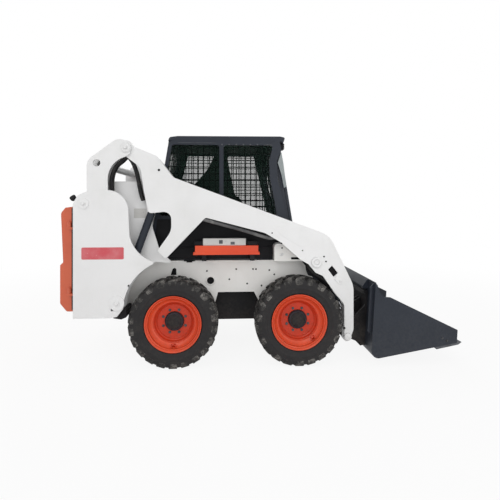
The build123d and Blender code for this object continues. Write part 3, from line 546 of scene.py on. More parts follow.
WHITE = Enamel(
    "white_enamel", "white_paint", shade(240, 240, 240), shade(232, 232, 231), dust=0.14,
    specks=0.12,
)
FRAME = Enamel(
    "frame_enamel", "frame_paint", shade(241, 240, 237), shade(233, 231, 227), dust=0.25, specks=0.3
)
DARK = Enamel(
    "dark_enamel", "dark_paint", shade(38, 43, 52), shade(45, 50, 60), shade(84, 84, 84), dust=0.2,
    specks=0.2, rough=0.42, coat=0.08, sheen=0.22,
)
BELLY = Enamel(
    "belly_black", "black_steel", shade(27, 27, 30), shade(36, 36, 39), shade(92, 86, 80), dust=0.4,
    specks=0.3, rough=0.55, coat=0.0, sheen=0.15,
)
WHEEL_ORANGE = Enamel(
    "wheel_orange", "orange_paint", shade(238, 84, 44), shade(228, 72, 36), shade(150, 84, 60),
    dust=0.3, specks=0.3, sheen=0.35,
)
# Painted shade: a darker, redder copy of the wheel orange for the recessed disc and the valve
# inside the rim.
SHADED_DISC_ORANGE = Enamel(
    "disc_orange", "orange_paint", shade(222, 62, 28), shade(206, 54, 24), shade(132, 70, 50),
    dust=0.35, specks=0.35, sheen=0.25,
)
GATE_ORANGE = Enamel(
    "gate_orange", "dull_orange", shade(214, 100, 66), shade(202, 92, 62), shade(150, 110, 92),
    dust=0.4, specks=0.3, rough=0.42,
)
RUBBER = Rubber("tyre_rubber", "tyre_rubber", shade(44, 43, 44), dusted=0.12)
# Pale specks on the lugs: partly dust, partly a painted highlight on the tops of the wet lugs.
TREAD_DUST_AND_GLINT = Rubber(
    "tread_rubber", "tyre_rubber", shade(44, 43, 43), shade(186, 182, 176), dusted=0.8, grain=0.003
)
SMOOTH_RUBBER = Rubber("hose_rubber", "tyre_rubber", shade(30, 30, 32), dusted=0.25, grain=0.0004)
CHROME = Metal(
    "hard_chrome", "chrome_rod", shade(222, 224, 228), shade(120, 112, 100), stained=0.12,
    rough=0.12, relief=0.0001,
)
WORN_STEEL = Metal(
    "worn_steel", "edge_steel", shade(150, 150, 152), shade(92, 72, 58), stained=0.5, rough=0.38
)
IRON = Metal(
    "oily_iron", "edge_steel", shade(96, 98, 102), shade(46, 40, 36), stained=0.7, rough=0.5,
    relief=0.0012,
)
GLASS = Glass("tinted_glass", "glass", shade(86, 104, 100), dusted=0.06)
CLEAR_LENS = Lens("clear_lens", "lamp_lens", shade(226, 226, 220))
# Painted highlight: pale grey for the strip on the cab's front post, where the door's glass and
# frame catch the light.
PAINTED_HIGHLIGHT_TRIM = Enamel(
    "pale_trim", "frame_paint", shade(150, 158, 158), shade(126, 134, 136), shade(90, 92, 90),
    dust=0.2, specks=0.3, rough=0.3, coat=0.1,
)
RED_LENS = Lens("red_lens", "red_lens", shade(196, 34, 28))
VINYL = Vinyl("seat_vinyl", "seat_vinyl", shade(44, 44, 46))
RED_LABEL = Label("red_label", "orange_paint", shade(208, 74, 84), shade(232, 208, 208))
GREY_LABEL = Label("grey_label", "frame_paint", shade(212, 211, 208), shade(150, 146, 140))
# Black of the side screens' mesh and the small screw dots, and painted shade: dark patches inside
# holes, slots, the notch and the arm's window.
HOLLOW_SHADE_AND_BLACK = Enamel(
    "dark_hollow", "black_steel", shade(24, 24, 26), shade(18, 18, 20), shade(60, 56, 52),
    dust=0.15, specks=0.15, rough=0.65, coat=0.0, sheen=0.1,
)
LINING = Enamel(
    "cab_lining", "black_steel", shade(58, 72, 66), shade(50, 62, 58), shade(70, 72, 68), dust=0.1,
    specks=0.1, rough=0.7, coat=0.0, sheen=0.1,
)
SIDE_TINT = Glass("side_tint", "glass", shade(30, 44, 38), clear=0.24, dusted=0.0, shine=0.0)
REAR_TINT = Glass("rear_tint", "glass", shade(26, 34, 34), clear=0.78, dusted=0.03)
SCUFFED = Enamel(
    "scuffed_pipe", "black_steel", shade(66, 66, 68), shade(168, 167, 165), shade(226, 224, 220),
    dust=3.4, specks=9.0, rough=0.6, coat=0.0, sheen=0.2,
)

# What the CAD nodes of each slot wear, and the nodes that differ.
SLOT_FINISHES: dict[str, Finish] = {
    finish.slot: finish
    for finish in (
        WHITE, FRAME, DARK, WHEEL_ORANGE, GATE_ORANGE, BELLY, RUBBER, CHROME, GLASS, CLEAR_LENS,
        RED_LENS, VINYL, WORN_STEEL,
    )
}
SLOT_FINISHES["bare_iron"] = IRON
NODE_FINISHES: dict[str, Finish] = {
    "side_screens": HOLLOW_SHADE_AND_BLACK,
    "rear_glass": REAR_TINT,
    "tailgate_hinges": GATE_ORANGE,
    "cutting_edge": IRON,
}


class PaintShop:
    """Builds each finish once and dresses the CAD nodes."""

    def __init__(self) -> None:
        """Starts with no finish built."""
        self.built: dict[Finish, bpy.types.Material] = {}

    def of(self, finish: Finish) -> bpy.types.Material:
        """The material of a finish."""
        if finish not in self.built:
            self.built[finish] = finish.build()
        return self.built[finish]

    def cover(self, piece: bpy.types.Object, finish: Finish) -> None:
        """Gives a piece one finish all over."""
        piece.data.materials.clear()
        piece.data.materials.append(self.of(finish))

    def dress(self, frame: dict[str, Any]) -> None:
        """Gives every CAD node the finish of its slot in the record.
        """
        for part in frame["record"]["subparts"]:
            node = frame["nodes"][part["node"]]
            finish = NODE_FINISHES.get(part["node"], SLOT_FINISHES[part["material_slot"]])
            material = self.of(finish)
            if not node.material_slots:
                node.data.materials.append(material)
            for place in node.material_slots:
                place.material = material
        log.info("dressed %d CAD nodes", len(frame["nodes"]))


# ---- Shapes -----------------------------------------------------------------------------


def rounded(corners: Outline, steps: int = 6) -> list[Spot]:
    """Rounds the corners of a flat outline.

    Args:
        corners: Each corner's two coordinates and its radius.
        steps: Points on each rounded corner, less one.

    Returns:
        The outline's points.
    """
    outline: list[Spot] = []
    for place, (x, z, radius) in enumerate(corners):
        here = Vector((x, z))
        if radius <= 0:
            outline.append((x, z))
            continue
        before = Vector(corners[place - 1][:2]) - here
        after = Vector(corners[(place + 1) % len(corners)][:2]) - here
        half = before.angle(after) / 2
        run = min(radius / math.tan(half), before.length / 2.01, after.length / 2.01)
        start, end = here + before.normalized() * run, here + after.normalized() * run
        for step in range(steps + 1):
            t = step / steps
            point = start * (1 - t) ** 2 + here * (2 * t * (1 - t)) + end * t**2
            outline.append((point.x, point.y))
    return outline


def oblong(low: Spot, high: Spot, radius: float = 0.0) -> Outline:
    """The corners of an upright rectangle, all rounded alike."""
    (x1, z1), (x2, z2) = low, high
    return ((x1, z1, radius), (x2, z1, radius), (x2, z2, radius), (x1, z2, radius))


def stand(name: str, data: Any) -> bpy.types.Object:
    """Puts a new object with some data into the scene."""
    made = bpy.data.objects.new(name, data)
    bpy.context.scene.collection.objects.link(made)
    return made


def stand_mesh(name: str, drawn: bmesh.types.BMesh) -> bpy.types.Object:
    """Ends a drawn mesh as an object of the same name."""
    mesh = bpy.data.meshes.new(name)
    drawn.to_mesh(mesh)
    drawn.free()
    return stand(name, mesh)


AXIS = 0.01  # millimetres: the least radius of a ring, and how near points are merged
BOLT_STEPS = (  # radius by the head's width, start and end by its height, and facets
    (0.72, 0.0, 0.22, 20),
    (0.5, 0.2, 0.86, 6),
    (0.4, 0.8, 1.0, 12),
)


class Shape:
    """A mesh being drawn in millimetres, on the left side or mirrored on the right."""

    def __init__(self, side: int = LEFT) -> None:
        """Starts empty.

        Args:
            side: LEFT to keep every y as it is given, RIGHT to mirror it.
        """
        self.mesh = bmesh.new()
        self.side = side

    def at(self, point: Sequence[float]) -> Point:
        """A given point on the drawing's own side."""
        x, y, z = point
        return (x, self.side * y, z)

    def bridge(self, rings: Sequence[Sequence[Point]], capped: bool = True) -> None:
        """Joins closed rings of points, already on their own side, with quads.

        Args:
            rings: The rings, each with the same number of points.
            capped: Whether the first and last ring are closed by a face.
        """
        made = [[self.mesh.verts.new(point) for point in ring] for ring in rings]
        for first, second in zip(made, made[1:]):
            for place in range(len(first)):
                before = place - 1
                quad = (first[before], first[place], second[place], second[before])
                self.mesh.faces.new(quad)
        if capped:
            self.mesh.faces.new(made[0])
            self.mesh.faces.new(made[-1])

    def prism(self, outline: Sequence[Spot], near: float, far: float) -> None:
        """Adds a plate with its outline in the side view.

        Args:
            outline: Distance ahead and height of each point.
            near: The y of one face.
            far: The y of the other face.
        """
        self.bridge([[self.at((x, y, z)) for x, z in outline] for y in (near, far)])

    def block(self, low: Point, high: Point) -> None:
        """Adds a box between two corners."""
        (x1, y1, z1), (x2, y2, z2) = low, high
        self.prism(rounded(oblong((x1, z1), (x2, z2))), y1, y2)

    def lathe(self, profile: Sequence[Spot], centre: Point, sides: int = 48) -> None:
        """Adds a body turned about a crosswise axle.

        Args:
            profile: Radius and distance outwards of each point; ends off the axis are joined.
            centre: A point on the axle.
            sides: Facets round the axle.
        """
        x, y, z = centre
        turns = [2 * math.pi * step / sides for step in range(sides)]
        rings = []
        for radius, out in profile:
            wide = max(radius, AXIS)
            spots = [(x + wide * math.cos(t), y + out, z + wide * math.sin(t)) for t in turns]
            rings.append([self.at(spot) for spot in spots])
        open_ends = min(profile[0][0], profile[-1][0]) > 10 * AXIS
        if open_ends:
            rings.append(rings[0])
        self.bridge(rings, capped=not open_ends)

    def rod(self, start: Point, end: Point, radius: float, sides: int = 16) -> None:
        """Adds a straight bar between two points."""
        first, last = Vector(self.at(start)), Vector(self.at(end))
        along = (last - first).normalized()
        across = along.orthogonal().normalized()
        over = along.cross(across)
        turns = [2 * math.pi * step / sides for step in range(sides)]
        spokes = [(across * math.cos(t) + over * math.sin(t)) * radius for t in turns]
        self.bridge([[tuple(foot + spoke) for spoke in spokes] for foot in (first, last)])

    def bolt(self, centre: Point, size: float, tall: float, out: Point = (0, 1, 0)) -> None:
        """Adds a washer with a six-sided, crowned bolt head.

        Args:
            centre: Middle of the washer's underside.
            size: Width of the head across its corners.
            tall: Height of the head.
            out: Direction that the head stands in.
        """
        foot, along = Vector(centre), Vector(out).normalized()
        for radius, start, end, sides in BOLT_STEPS:
            low, high = foot + along * (start * tall), foot + along * (end * tall)
            self.rod(tuple(low), tuple(high), size * radius, sides)

    def turn(self, angle: float, about: Point, axis: str = "Y") -> None:
        """Turns all that is drawn so far about an axis through a point."""
        matrix = Matrix.Rotation(angle, 3, axis)
        bmesh.ops.rotate(self.mesh, verts=self.mesh.verts, cent=self.at(about), matrix=matrix)

    def thing(self, name: str) -> bpy.types.Object:
        """Ends the drawing as a loose object, still in millimetres and in its own place."""
        bmesh.ops.remove_doubles(self.mesh, verts=self.mesh.verts, dist=AXIS)
        bmesh.ops.recalc_face_normals(self.mesh, faces=self.mesh.faces)
        return stand_mesh(name, self.mesh)


@dataclass
class Workshop:
    """Turns drawings into finished pieces that ride on the machine's bodies.

    Args:
        paint: Where finishes come from.
        middle: The x of the wheelbase's middle in the model's frame, in metres.
    """

    paint: PaintShop
    middle: float
    made: list[str] = field(default_factory=list)

    def place(self, x: float, y: float, z: float) -> Point:
        """A place in millimetres from the wheelbase's middle, as metres in the model's frame."""
        return (self.middle + x * MM, y * MM, z * MM)

    def settle(self, piece: bpy.types.Object) -> None:
        """Scales a mesh from millimetres to metres and moves it into the model's frame."""
        piece.data.transform(Matrix.Translation((self.middle, 0, 0)) @ Matrix.Scale(MM, 4))

    def soften(self, piece: bpy.types.Object, width: float, angle: float = CREASE) -> None:
        """Shades a piece smoothly and rounds its edges.

        Args:
            piece: The object.
            width: Width of the rounded edges in millimetres, or 0.
            angle: Edges sharper than this, in degrees, stay edges.
        """
        piece.data.shade_smooth()
        piece.data.set_sharp_from_angle(angle=math.radians(angle))
        if not width:
            return
        edge = piece.modifiers.new("edge", "BEVEL")
        edge.width = width * MM
        edge.segments = 2
        edge.limit_method = "ANGLE"
        edge.angle_limit = math.radians(angle)
        edge.harden_normals = True

    def finish(
        self,
        piece: bpy.types.Object,
        body: str,
        finish: Finish,
        replaces: Sequence[str] = (),
        slot: str = "",
    ) -> bpy.types.Object:
        """Paints a piece and puts it on a body.

        Args:
            piece: A mesh object in the model's frame.
            body: The CAD body that it rides on.
            finish: Its finish.
            replaces: The CAD nodes that it takes the place of.
            slot: Not used.

        Returns:
            The piece.
        """
        slot = slot or finish.slot
        self.paint.cover(piece, finish)
        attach(piece, body)
        if replaces:
            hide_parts(*replaces)
        self.made.append(piece.name)
        log.info("%s: %d faces on %s", piece.name, len(piece.data.polygons), body)
        return piece

    def add(
        self,
        shape: Shape,
        name: str,
        body: str,
        finish: Finish,
        edge: float = 1.5,
        replaces: Sequence[str] = (),
        slot: str = "",
    ) -> bpy.types.Object:
        """Makes a piece of a drawing.

        Args:
            shape: The drawing.
            name: The piece's name.
            body: The CAD body that it rides on.
            finish: Its finish.
            edge: Width of its rounded edges in millimetres.
            replaces: The CAD nodes that it takes the place of.
            slot: Handed on to finish.

        Returns:
            The piece.
        """
        piece = shape.thing(name)
        self.settle(piece)
        self.soften(piece, edge)
        return self.finish(piece, body, finish, replaces, slot)

    def baked(self, piece: bpy.types.Object, modifier: bpy.types.Modifier) -> None:
        """Keeps what a modifier makes of a piece as its plain mesh, and removes the modifier."""
        graph = bpy.context.evaluated_depsgraph_get()
        made = bpy.data.meshes.new_from_object(piece.evaluated_get(graph))
        old = piece.data
        piece.modifiers.remove(modifier)
        piece.data = made
        bpy.data.meshes.remove(old)
        piece.data.name = piece.name


@dataclass(frozen=True)
class Part:
    """A piece of plates, boxes, turned bodies and bolts, in the left side's coordinates.

    Args:
        name: The piece's name, before its side's.
        finish: Its finish.
        edge: Width of its rounded edges in millimetres.
        plates: Outline in the side view and the y of both faces of each plate.
        boxes: Two corners of each box.
        turned: Profile, centre and facets of each body turned about a crosswise axle.
        bolts: Foot, width and height of each bolt that stands outwards.
        replaces: The CAD node that the piece on the right takes the place of.
        slot: Handed on to Workshop.add.
    """

    name: str
    finish: Finish
    edge: float = 1.5
    plates: Sequence[tuple[Outline, float, float]] = ()
    boxes: Sequence[tuple[Point, Point]] = ()
    turned: Sequence[tuple[Profile, Point, int]] = ()
    bolts: Sequence[tuple[Point, float, float]] = ()
    replaces: str = ""
    slot: str = ""

    def build(self, shop: Workshop, body: str, side: int = LEFT, ending: str = "") -> None:
        """Makes the piece.

        Args:
            shop: Where it is made.
            body: The CAD body that it rides on.
            side: The machine's side.
            ending: The side's name, or nothing where there is one piece only.
        """
        shape = Shape(side)
        for corners, near, far in self.plates:
            shape.prism(rounded(corners), near, far)
        for box in self.boxes:
            shape.block(*box)
        for turned in self.turned:
            shape.lathe(*turned)
        for bolt in self.bolts:
            shape.bolt(*bolt)
        name = f"{self.name}_{ending}" if ending else self.name
        kept = [self.replaces] if self.replaces and side == RIGHT else []
        shop.add(shape, name, body, self.finish, self.edge, kept, self.slot)


def both_sides(shop: Workshop, body: str, parts: Sequence[Part]) -> None:
    """Makes parts on the right and on the left of a body."""
    for side, ending in SIDES:
        for part in parts:
            part.build(shop, body, side, ending)


# ---- Geometry nodes ---------------------------------------------------------------------


class Rule(Graph):
    """A Geometry Nodes tree with named inputs that ends in Realize Instances and Set Material."""

    def __init__(self, name: str, inputs: dict[str, str]) -> None:
        """Makes the tree and its inputs.

        Args:
            name: The tree's name.
            inputs: The kind of socket of each input after the geometry and the material.
        """
        group = bpy.data.node_groups.new(name, "GeometryNodeTree")
        super().__init__(group)
        face = group.interface
        face.new_socket("Geometry", in_out="INPUT", socket_type="NodeSocketGeometry")
        face.new_socket("Material", in_out="INPUT", socket_type="NodeSocketMaterial")
        for label, kind in inputs.items():
            face.new_socket(label, in_out="INPUT", socket_type=kind)
        face.new_socket("Geometry", in_out="OUTPUT", socket_type="NodeSocketGeometry")
        self.source = group.nodes.new("NodeGroupInput")

    def given(self, label: str) -> Signal:
        """One of the tree's inputs."""
        return Signal(self, self.source.outputs[label])

    def end(self, geometry: Signal) -> None:
        """Realizes what was made, gives it the material and returns it."""
        whole = self.node("GeometryNodeRealizeInstances", None, {0: geometry})
        painted = {"Geometry": whole, "Material": self.given("Material")}
        done = self.node("GeometryNodeSetMaterial", None, painted)
        self.node("NodeGroupOutput", None, {0: done})

    def run(
        self, workshop: Workshop, piece: bpy.types.Object, finish: Finish, **values: Any
    ) -> None:
        """Applies the tree to a piece and keeps the result as its mesh.

        Args:
            workshop: Where the piece is made.
            piece: The object that the tree starts from.
            finish: The finish that it gives.
            values: The tree's inputs, with underscores for spaces.
        """
        modifier = piece.modifiers.new(self.tree.name, "NODES")
        modifier.node_group = self.tree
        values["Material"] = workshop.paint.of(finish)
        for item in self.tree.interface.items_tree:
            label = item.name.replace(" ", "_")
            if item.in_out == "INPUT" and label in values:
                modifier[item.identifier] = values[label]
        piece.update_tag()
        bpy.context.view_layer.update()
        workshop.baked(piece, modifier)


class Copies(Rule):
    """Repeats a small mesh along a line, in a ring about a crosswise axle, or both."""

    def __init__(self) -> None:
        """Builds the tree."""
        kinds = {
            "Count": "NodeSocketInt",
            "Step": "NodeSocketVector",
            "Turn": "NodeSocketFloat",
            "First Turn": "NodeSocketFloat",
            "Centre": "NodeSocketVector",
        }
        super().__init__("copies", kinds)
        count, centre, step = (self.given(label) for label in ("Count", "Centre", "Step"))
        spots = {"Count": count, "Start Location": centre, "Offset": step}
        line = self.node("GeometryNodeMeshLine", {"mode": "OFFSET"}, spots)
        away = {"Vector": centre, "Scale": -1.0}
        back = self.node("ShaderNodeVectorMath", {"operation": "SCALE"}, away)
        moved = {"Geometry": self.given("Geometry"), "Translation": back}
        item = self.node("GeometryNodeTransform", None, moved)
        index = self.node("GeometryNodeInputIndex")
        turn = index * self.given("Turn") + self.given("First Turn")
        angles = self.node("ShaderNodeCombineXYZ", None, {"Y": turn})
        sockets = {"Points": line, "Instance": item, "Rotation": angles}
        placed = self.node("GeometryNodeInstanceOnPoints", None, sockets)
        self.end(placed)

    def repeat(
        self, shop: Workshop, shape: Shape, name: str, finish: Finish, edge: float,
        angle: float = CREASE, **values: Any,
    ) -> bpy.types.Object:
        """Repeats a drawing, then rounds the edges of its copies.

        Args:
            shop: Where it is made.
            shape: The drawing.
            name: The piece's name.
            finish: Its finish.
            edge: Width of its rounded edges in millimetres, or 0.
            angle: Edges sharper than this, in degrees, stay edges.
            values: The tree's inputs, with underscores for spaces.

        Returns:
            The piece, not yet on a body.
        """
        piece = shape.thing(name)
        shop.settle(piece)
        self.run(shop, piece, finish, **values)
        shop.soften(piece, edge, angle)
        return piece


FACETS = 14  # round a hose or pipe


class Run(Rule):
    """Sweeps a round section along the piece's line, as a hose, pipe or bar."""

    def __init__(self) -> None:
        """Builds the tree."""
        kinds = {"Radius": "NodeSocketFloat", "Spacing": "NodeSocketFloat"}
        super().__init__("run", kinds)
        curve = self.node("GeometryNodeMeshToCurve", None, {0: self.given("Geometry")})
        kind = {"spline_type": "CATMULL_ROM"}
        smooth = self.node("GeometryNodeCurveSplineType", kind, {"Curve": curve})
        spacing = {"Curve": smooth, "Length": self.given("Spacing")}
        even = self.node("GeometryNodeResampleCurve", {"mode": "LENGTH"}, spacing)
        section = {"Resolution": FACETS, "Radius": self.given("Radius")}
        ring = self.node("GeometryNodeCurvePrimitiveCircle", {"mode": "RADIUS"}, section)
        along = {"Curve": even, "Profile Curve": ring, "Fill Caps": True}
        swept = self.node("GeometryNodeCurveToMesh", None, along)
        shaded = self.node("GeometryNodeSetShadeSmooth", None, {0: swept})
        self.end(shaded)


# ---- Sub-assemblies ---------------------------------------------------------------------


ROUND = 96  # facets of a tyre or a rim


@dataclass
class Tyre:
    """A lugged tyre: a turned carcass with slanting bars on both halves of its tread.

    Args:
        radius: Out to the lugs' tips.
        half: Half of its width.
        base: Radius of the tread between the lugs.
        lugs: Bars on each side.
        slant: How far a bar leans round the tread from its shoulder to the middle.
    """

    radius: float = 376.0
    half: float = 132.0
    base: float = 351.0
    lugs: int = 22
    slant: float = 58.0

    def carcass(self, centre: Point) -> Shape:
        """Draws the turned body, with its rim guard and moulded rings."""
        shape = Shape()
        outer = [
            (211, 88), (224, 92), (235, 99), (241, 107), (246, 115), (252, 117), (262, 119),
            (282, 125), (286, 128), (293, 129), (300, 127), (318, 129), (338, 127),
            (352, 120), (360, 109), (361, 100), (self.base, 88), (self.base + 1, 50),
        ]
        inner = [(330, 60), (250, 92), (211, 78)]
        profile = [(r, -y) for r, y in outer] + outer[::-1]
        profile += inner[::-1] + [(r, -y) for r, y in inner]
        shape.lathe(profile, centre, ROUND)
        return shape

    def bar(self, centre: Point, side: int) -> Shape:
        """Draws one lug at the top of the tyre.

        Args:
            centre: The tyre's middle.
            side: The half of the tread that it is on.

        Returns:
            The drawing.
        """
        x, y, z = centre
        shape = Shape()
        top = self.radius
        stations = [  # out from the middle, height of its top, of its foot, lean, half width
            (4, top - 1, 340, self.slant + 4, 17),
            (12, top, 340, self.slant, 20),
            (60, top - 1, 340, self.slant * 0.45, 25),
            (92, top - 2, 335, self.slant * 0.12, 30),
            (self.half - 20, top - 7, 325, 0, 35),
            (self.half - 9, top - 17, 318, -2, 35),
            (self.half - 3, top - 32, 306, -4, 32),
            (self.half - 2, top - 50, 300, -5, 27),
            (self.half - 6, top - 62, 296, -6, 20),
        ]
        rings = []
        for out, high, foot, lean, wide in stations:
            in_y = y + side * min(out, 100.0)
            out_y = y + side * out
            low_end, high_end = lean - wide, lean + wide
            rings.append([
                (x + low_end, out_y, z + math.sqrt(high**2 - low_end**2)),
                (x + high_end, out_y, z + math.sqrt(high**2 - high_end**2)),
                (x + lean + wide * 1.12, in_y, z + foot),
                (x + lean - wide * 1.12, in_y, z + foot),
            ])
        shape.bridge(rings)
        return shape

    def build(self, shop: Workshop, copies: Copies, corner: Corner, axle: Point) -> None:
        """Makes one tyre in place of its CAD solid.

        Args:
            shop: Where it is made.
            copies: The tree that repeats the lugs.
            corner: Which wheel.
            axle: The tyre's middle.
        """
        ending, _ = corner.value
        tyre = self.carcass(axle).thing("tyre_" + ending + "_dressed")
        shop.settle(tyre)
        shop.soften(tyre, 0, 50)
        shop.finish(tyre, "wheel_" + ending, RUBBER, ["tyre_" + ending])
        pitch = 2 * math.pi / self.lugs
        parts = [
            copies.repeat(
                shop, self.bar(axle, side), f"lugs_{ending}_{side}", TREAD_DUST_AND_GLINT, 3.5, 30,
                Count=self.lugs, Turn=pitch, First_Turn=pitch / 2 if side == LEFT else 0.0,
                Centre=shop.place(*axle),
            )
            for side, _ in SIDES
        ]
        shop.finish(join_pieces(parts), "wheel_" + ending, TREAD_DUST_AND_GLINT)


def join_pieces(pieces: Sequence[bpy.types.Object]) -> bpy.types.Object:
    """Applies each piece's modifiers and joins them into the first.

    Args:
        pieces: Objects in the model's frame.

    Returns:
        The first piece, now with everything.
    """
    graph = bpy.context.evaluated_depsgraph_get()
    whole = bmesh.new()
    for piece in pieces:
        made = bpy.data.meshes.new_from_object(piece.evaluated_get(graph))
        whole.from_mesh(made)
        bpy.data.meshes.remove(made)
    first = pieces[0]
    first.modifiers.clear()
    whole.to_mesh(first.data)
    whole.free()
    for piece in pieces[1:]:
        old = piece.data
        bpy.data.objects.remove(piece)
        bpy.data.meshes.remove(old)
    return first


@dataclass
class WheelTrim:
    """Rim, bolts, hub cap and valve of a deep-dished wheel, with the dish's shade painted as a
    darker orange.

    Args:
        bolts: Wheel nuts.
        ring: Radius of their circle.
        disc_out: The disc's outer face, outwards from the tyre's middle.
        barrel: Radius and distance outwards along the rim, from its outer lip inwards.
        disc: The same along the disc, from the rim's step to its middle.
        cap: The same over the hub cap, outwards from the disc.
        tilt: Degrees round a front wheel from its bottom to the valve.
    """

    bolts: int = 8
    ring: float = 101.5
    disc_out: float = 1.0
    barrel: Profile = (
        (212, 99), (226, 104), (233, 108), (236.5, 112), (236, 115.5), (232, 116), (227, 112),
        (221, 104), (212, 90), (203, 77), (195, 67), (188, 60), (182, 55), (177, 53), (173, 50),
        (171, 44), (170, 34), (174, 28), (184, 10), (190, -40), (198, -84), (214, -101),
        (229, -112), (235, -115), (236.5, -111), (228, -104), (212, -97), (205, -88), (200, -40),
        (198, 20), (203, 70),
    )
    disc: Profile = (
        (172, 46), (166, 43), (162, 36), (160, 26), (156, 20), (150, 17), (147, 13), (146, 5),
        (142, 1.5), (134, 1), (82, 1), (82, -7), (138, -7), (150, -3), (158, 8), (166, 22),
        (172, 32),
    )
    cap: Profile = (
        (0, 34), (48, 34), (60, 30), (66, 22), (70, 20), (76, 20), (79, 14), (79, 2), (0, 2)
    )
    tilt: float = -40.0

    def build(self, shop: Workshop, copies: Copies, corner: Corner, axle: Point) -> None:
        """Makes the trim of one wheel."""
        ending, side = corner.value
        x, y, z = axle
        hub, body = (x, abs(y), z), "wheel_" + ending
        face = abs(y) + self.disc_out
        for name, profile, finish, kept in (
            ("rim_barrel", self.barrel, WHEEL_ORANGE, ["rim_" + ending]),
            # the disc wears the darker orange of painted shade
            ("rim_disc", self.disc, SHADED_DISC_ORANGE, []),
        ):
            ring = Shape(side)
            ring.lathe(profile, hub, ROUND)
            shop.add(ring, f"{name}_{ending}", body, finish, 0, kept)
        nut = Shape(side)
        nut.bolt((x, face, z + self.ring), 17, 11)
        nuts = copies.repeat(
            shop, nut, "wheel_nuts_" + ending, IRON, 0.8, Count=self.bolts,
            Turn=2 * math.pi / self.bolts, First_Turn=math.pi / self.bolts,
            Centre=shop.place(*axle),
        )
        shop.finish(nuts, body, IRON)
        cap = Shape(side)
        cap.lathe(self.cap, (x, face, z))
        shop.add(cap, "hub_cap_" + ending, body, BELLY)
        stem = self.valve(hub, side)
        stem.turn(math.radians(self.tilt) if "front" in ending else 0.0, hub)
        # the valve and its guard wear the darker orange of painted shade
        shop.add(stem, "valve_" + ending, body, SHADED_DISC_ORANGE, 1.0)

    def valve(self, hub: Point, side: int) -> Shape:
        """Draws the valve and its guard at the bottom of the rim's barrel.

        Args:
            hub: The tyre's middle, on the left side.
            side: The machine's side.

        Returns:
            The drawing.
        """
        x, y, z = hub
        stem = Shape(side)
        stem.rod((x, y + 62, z - 202), (x, y + 84, z - 180), 6)
        stem.rod((x, y + 82, z - 182), (x, y + 98, z - 168), 9, 12)
        for left, right, low, high in (
            (-19, -13, -204, -178), (13, 19, -204, -178), (-19, 19, -180, -174)
        ):
            stem.block((x + left, y + 66, z + low), (x + right, y + 92, z + high))
        return stem


@dataclass(frozen=True)
class Route:
    """Hoses or pipes that run side by side.

    Args:
        name: The piece's name, before its side's.
        finish: Its finish.
        lanes: How far each of them lies from the machine's middle.
        radius: Their radius.
        path: Their x and z along their length.
    """

    name: str
    finish: Finish
    lanes: tuple[float, ...]
    radius: float
    path: Profile


@dataclass
class Hoses:
    """Hydraulic hoses and pipes along the uprights and the lift arms, with clamps over the arm
    pipes.

    Args:
        bundle: The hoses that go up the horn and down the arm.
        pipes: The steel pipes under the arm.
        drop: The hoses that go down to the coupler.
        bend: Where the bundle leaves the horn and where it joins the arm, as x, y and z; not used.
        clamps: Middles of the clamps over the pipes.
        spacing: Metres from one ring of a hose to the next.
    """

    bundle: Route = Route(
        "hoses", SMOOTH_RUBBER, (640.0, 668.0, 696.0), 13.0,
        (
            (-1040, 1250), (-1044, 1400), (-1044, 1560), (-1030, 1640), (-1000, 1695), (-955, 1735),
            (-916, 1768), (-882, 1740), (-856, 1690), (-834, 1620), (-818, 1540), (-802, 1460),
            (-784, 1405),
        ),
    )
    pipes: Route = Route(
        "arm_pipes", SCUFFED, (638.0, 667.0, 696.0), 14.0,
        (
            (-335, 1262), (-262, 1240), (-130, 1203), (0, 1168), (120, 1132), (220, 1100),
            (290, 1084), (330, 1096),
        ),
    )
    drop: Route = Route(
        "coupler_hoses", SMOOTH_RUBBER, (662.0, 688.0), 10.0,
        (
            (610, 866), (628, 818), (668, 776), (722, 744), (776, 704), (824, 656), (856, 612),
        ),
    )
    bend: tuple[Point, Point] = ((-1010, 668, 1690), (-836, 668, 1690))
    clamps: Profile = ((-200, 1230), (60, 1160))
    spacing: float = 0.012

    def line(self, name: str, path: Profile, y: float) -> bpy.types.Object:
        """A line of edges in the side view."""
        mesh = bpy.data.meshes.new(name)
        edges = [(place, place + 1) for place in range(len(path) - 1)]
        mesh.from_pydata([(x, y, z) for x, z in path], edges, [])
        return stand(name, mesh)

    def sweep(
        self, shop: Workshop, run: Run, route: Route, side: int, ending: str
    ) -> bpy.types.Object:
        """Sweeps the hoses of one route and joins them.

        Args:
            shop: Where the piece is made.
            run: The tree that sweeps.
            route: The route.
            side: The machine's side.
            ending: The side's name.

        Returns:
            The joined hoses, not yet on a body.
        """
        made = []
        for place, y in enumerate(route.lanes):
            name = f"{route.name}_{ending}" + (f"_{place}" if place else "")
            piece = self.line(name, route.path, side * y)
            shop.settle(piece)
            radius = route.radius * MM
            run.run(shop, piece, route.finish, Radius=radius, Spacing=self.spacing)
            made.append(piece)
        return join_pieces(made)

    def build(self, shop: Workshop, run: Run) -> None:
        """Makes the hoses and pipes of both sides."""
        for side, ending in SIDES:
            piece = self.sweep(shop, run, self.bundle, side, ending)
            shop.paint.cover(piece, self.bundle.finish)
            start, end = (shop.place(x, side * y, z) for x, y, z in self.bend)
            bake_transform(piece)
            shop.made.append(piece.name)
            for route in (self.pipes, self.drop):
                piece = self.sweep(shop, run, route, side, ending)
                shop.finish(piece, "lift_arm", route.finish)
        boxes = [((x - 14, 623, z - 16), (x + 14, 699, z + 30)) for x, z in self.clamps]
        both_sides(shop, "lift_arm", [Part("pipe_clamps", BELLY, 3, boxes=boxes)])


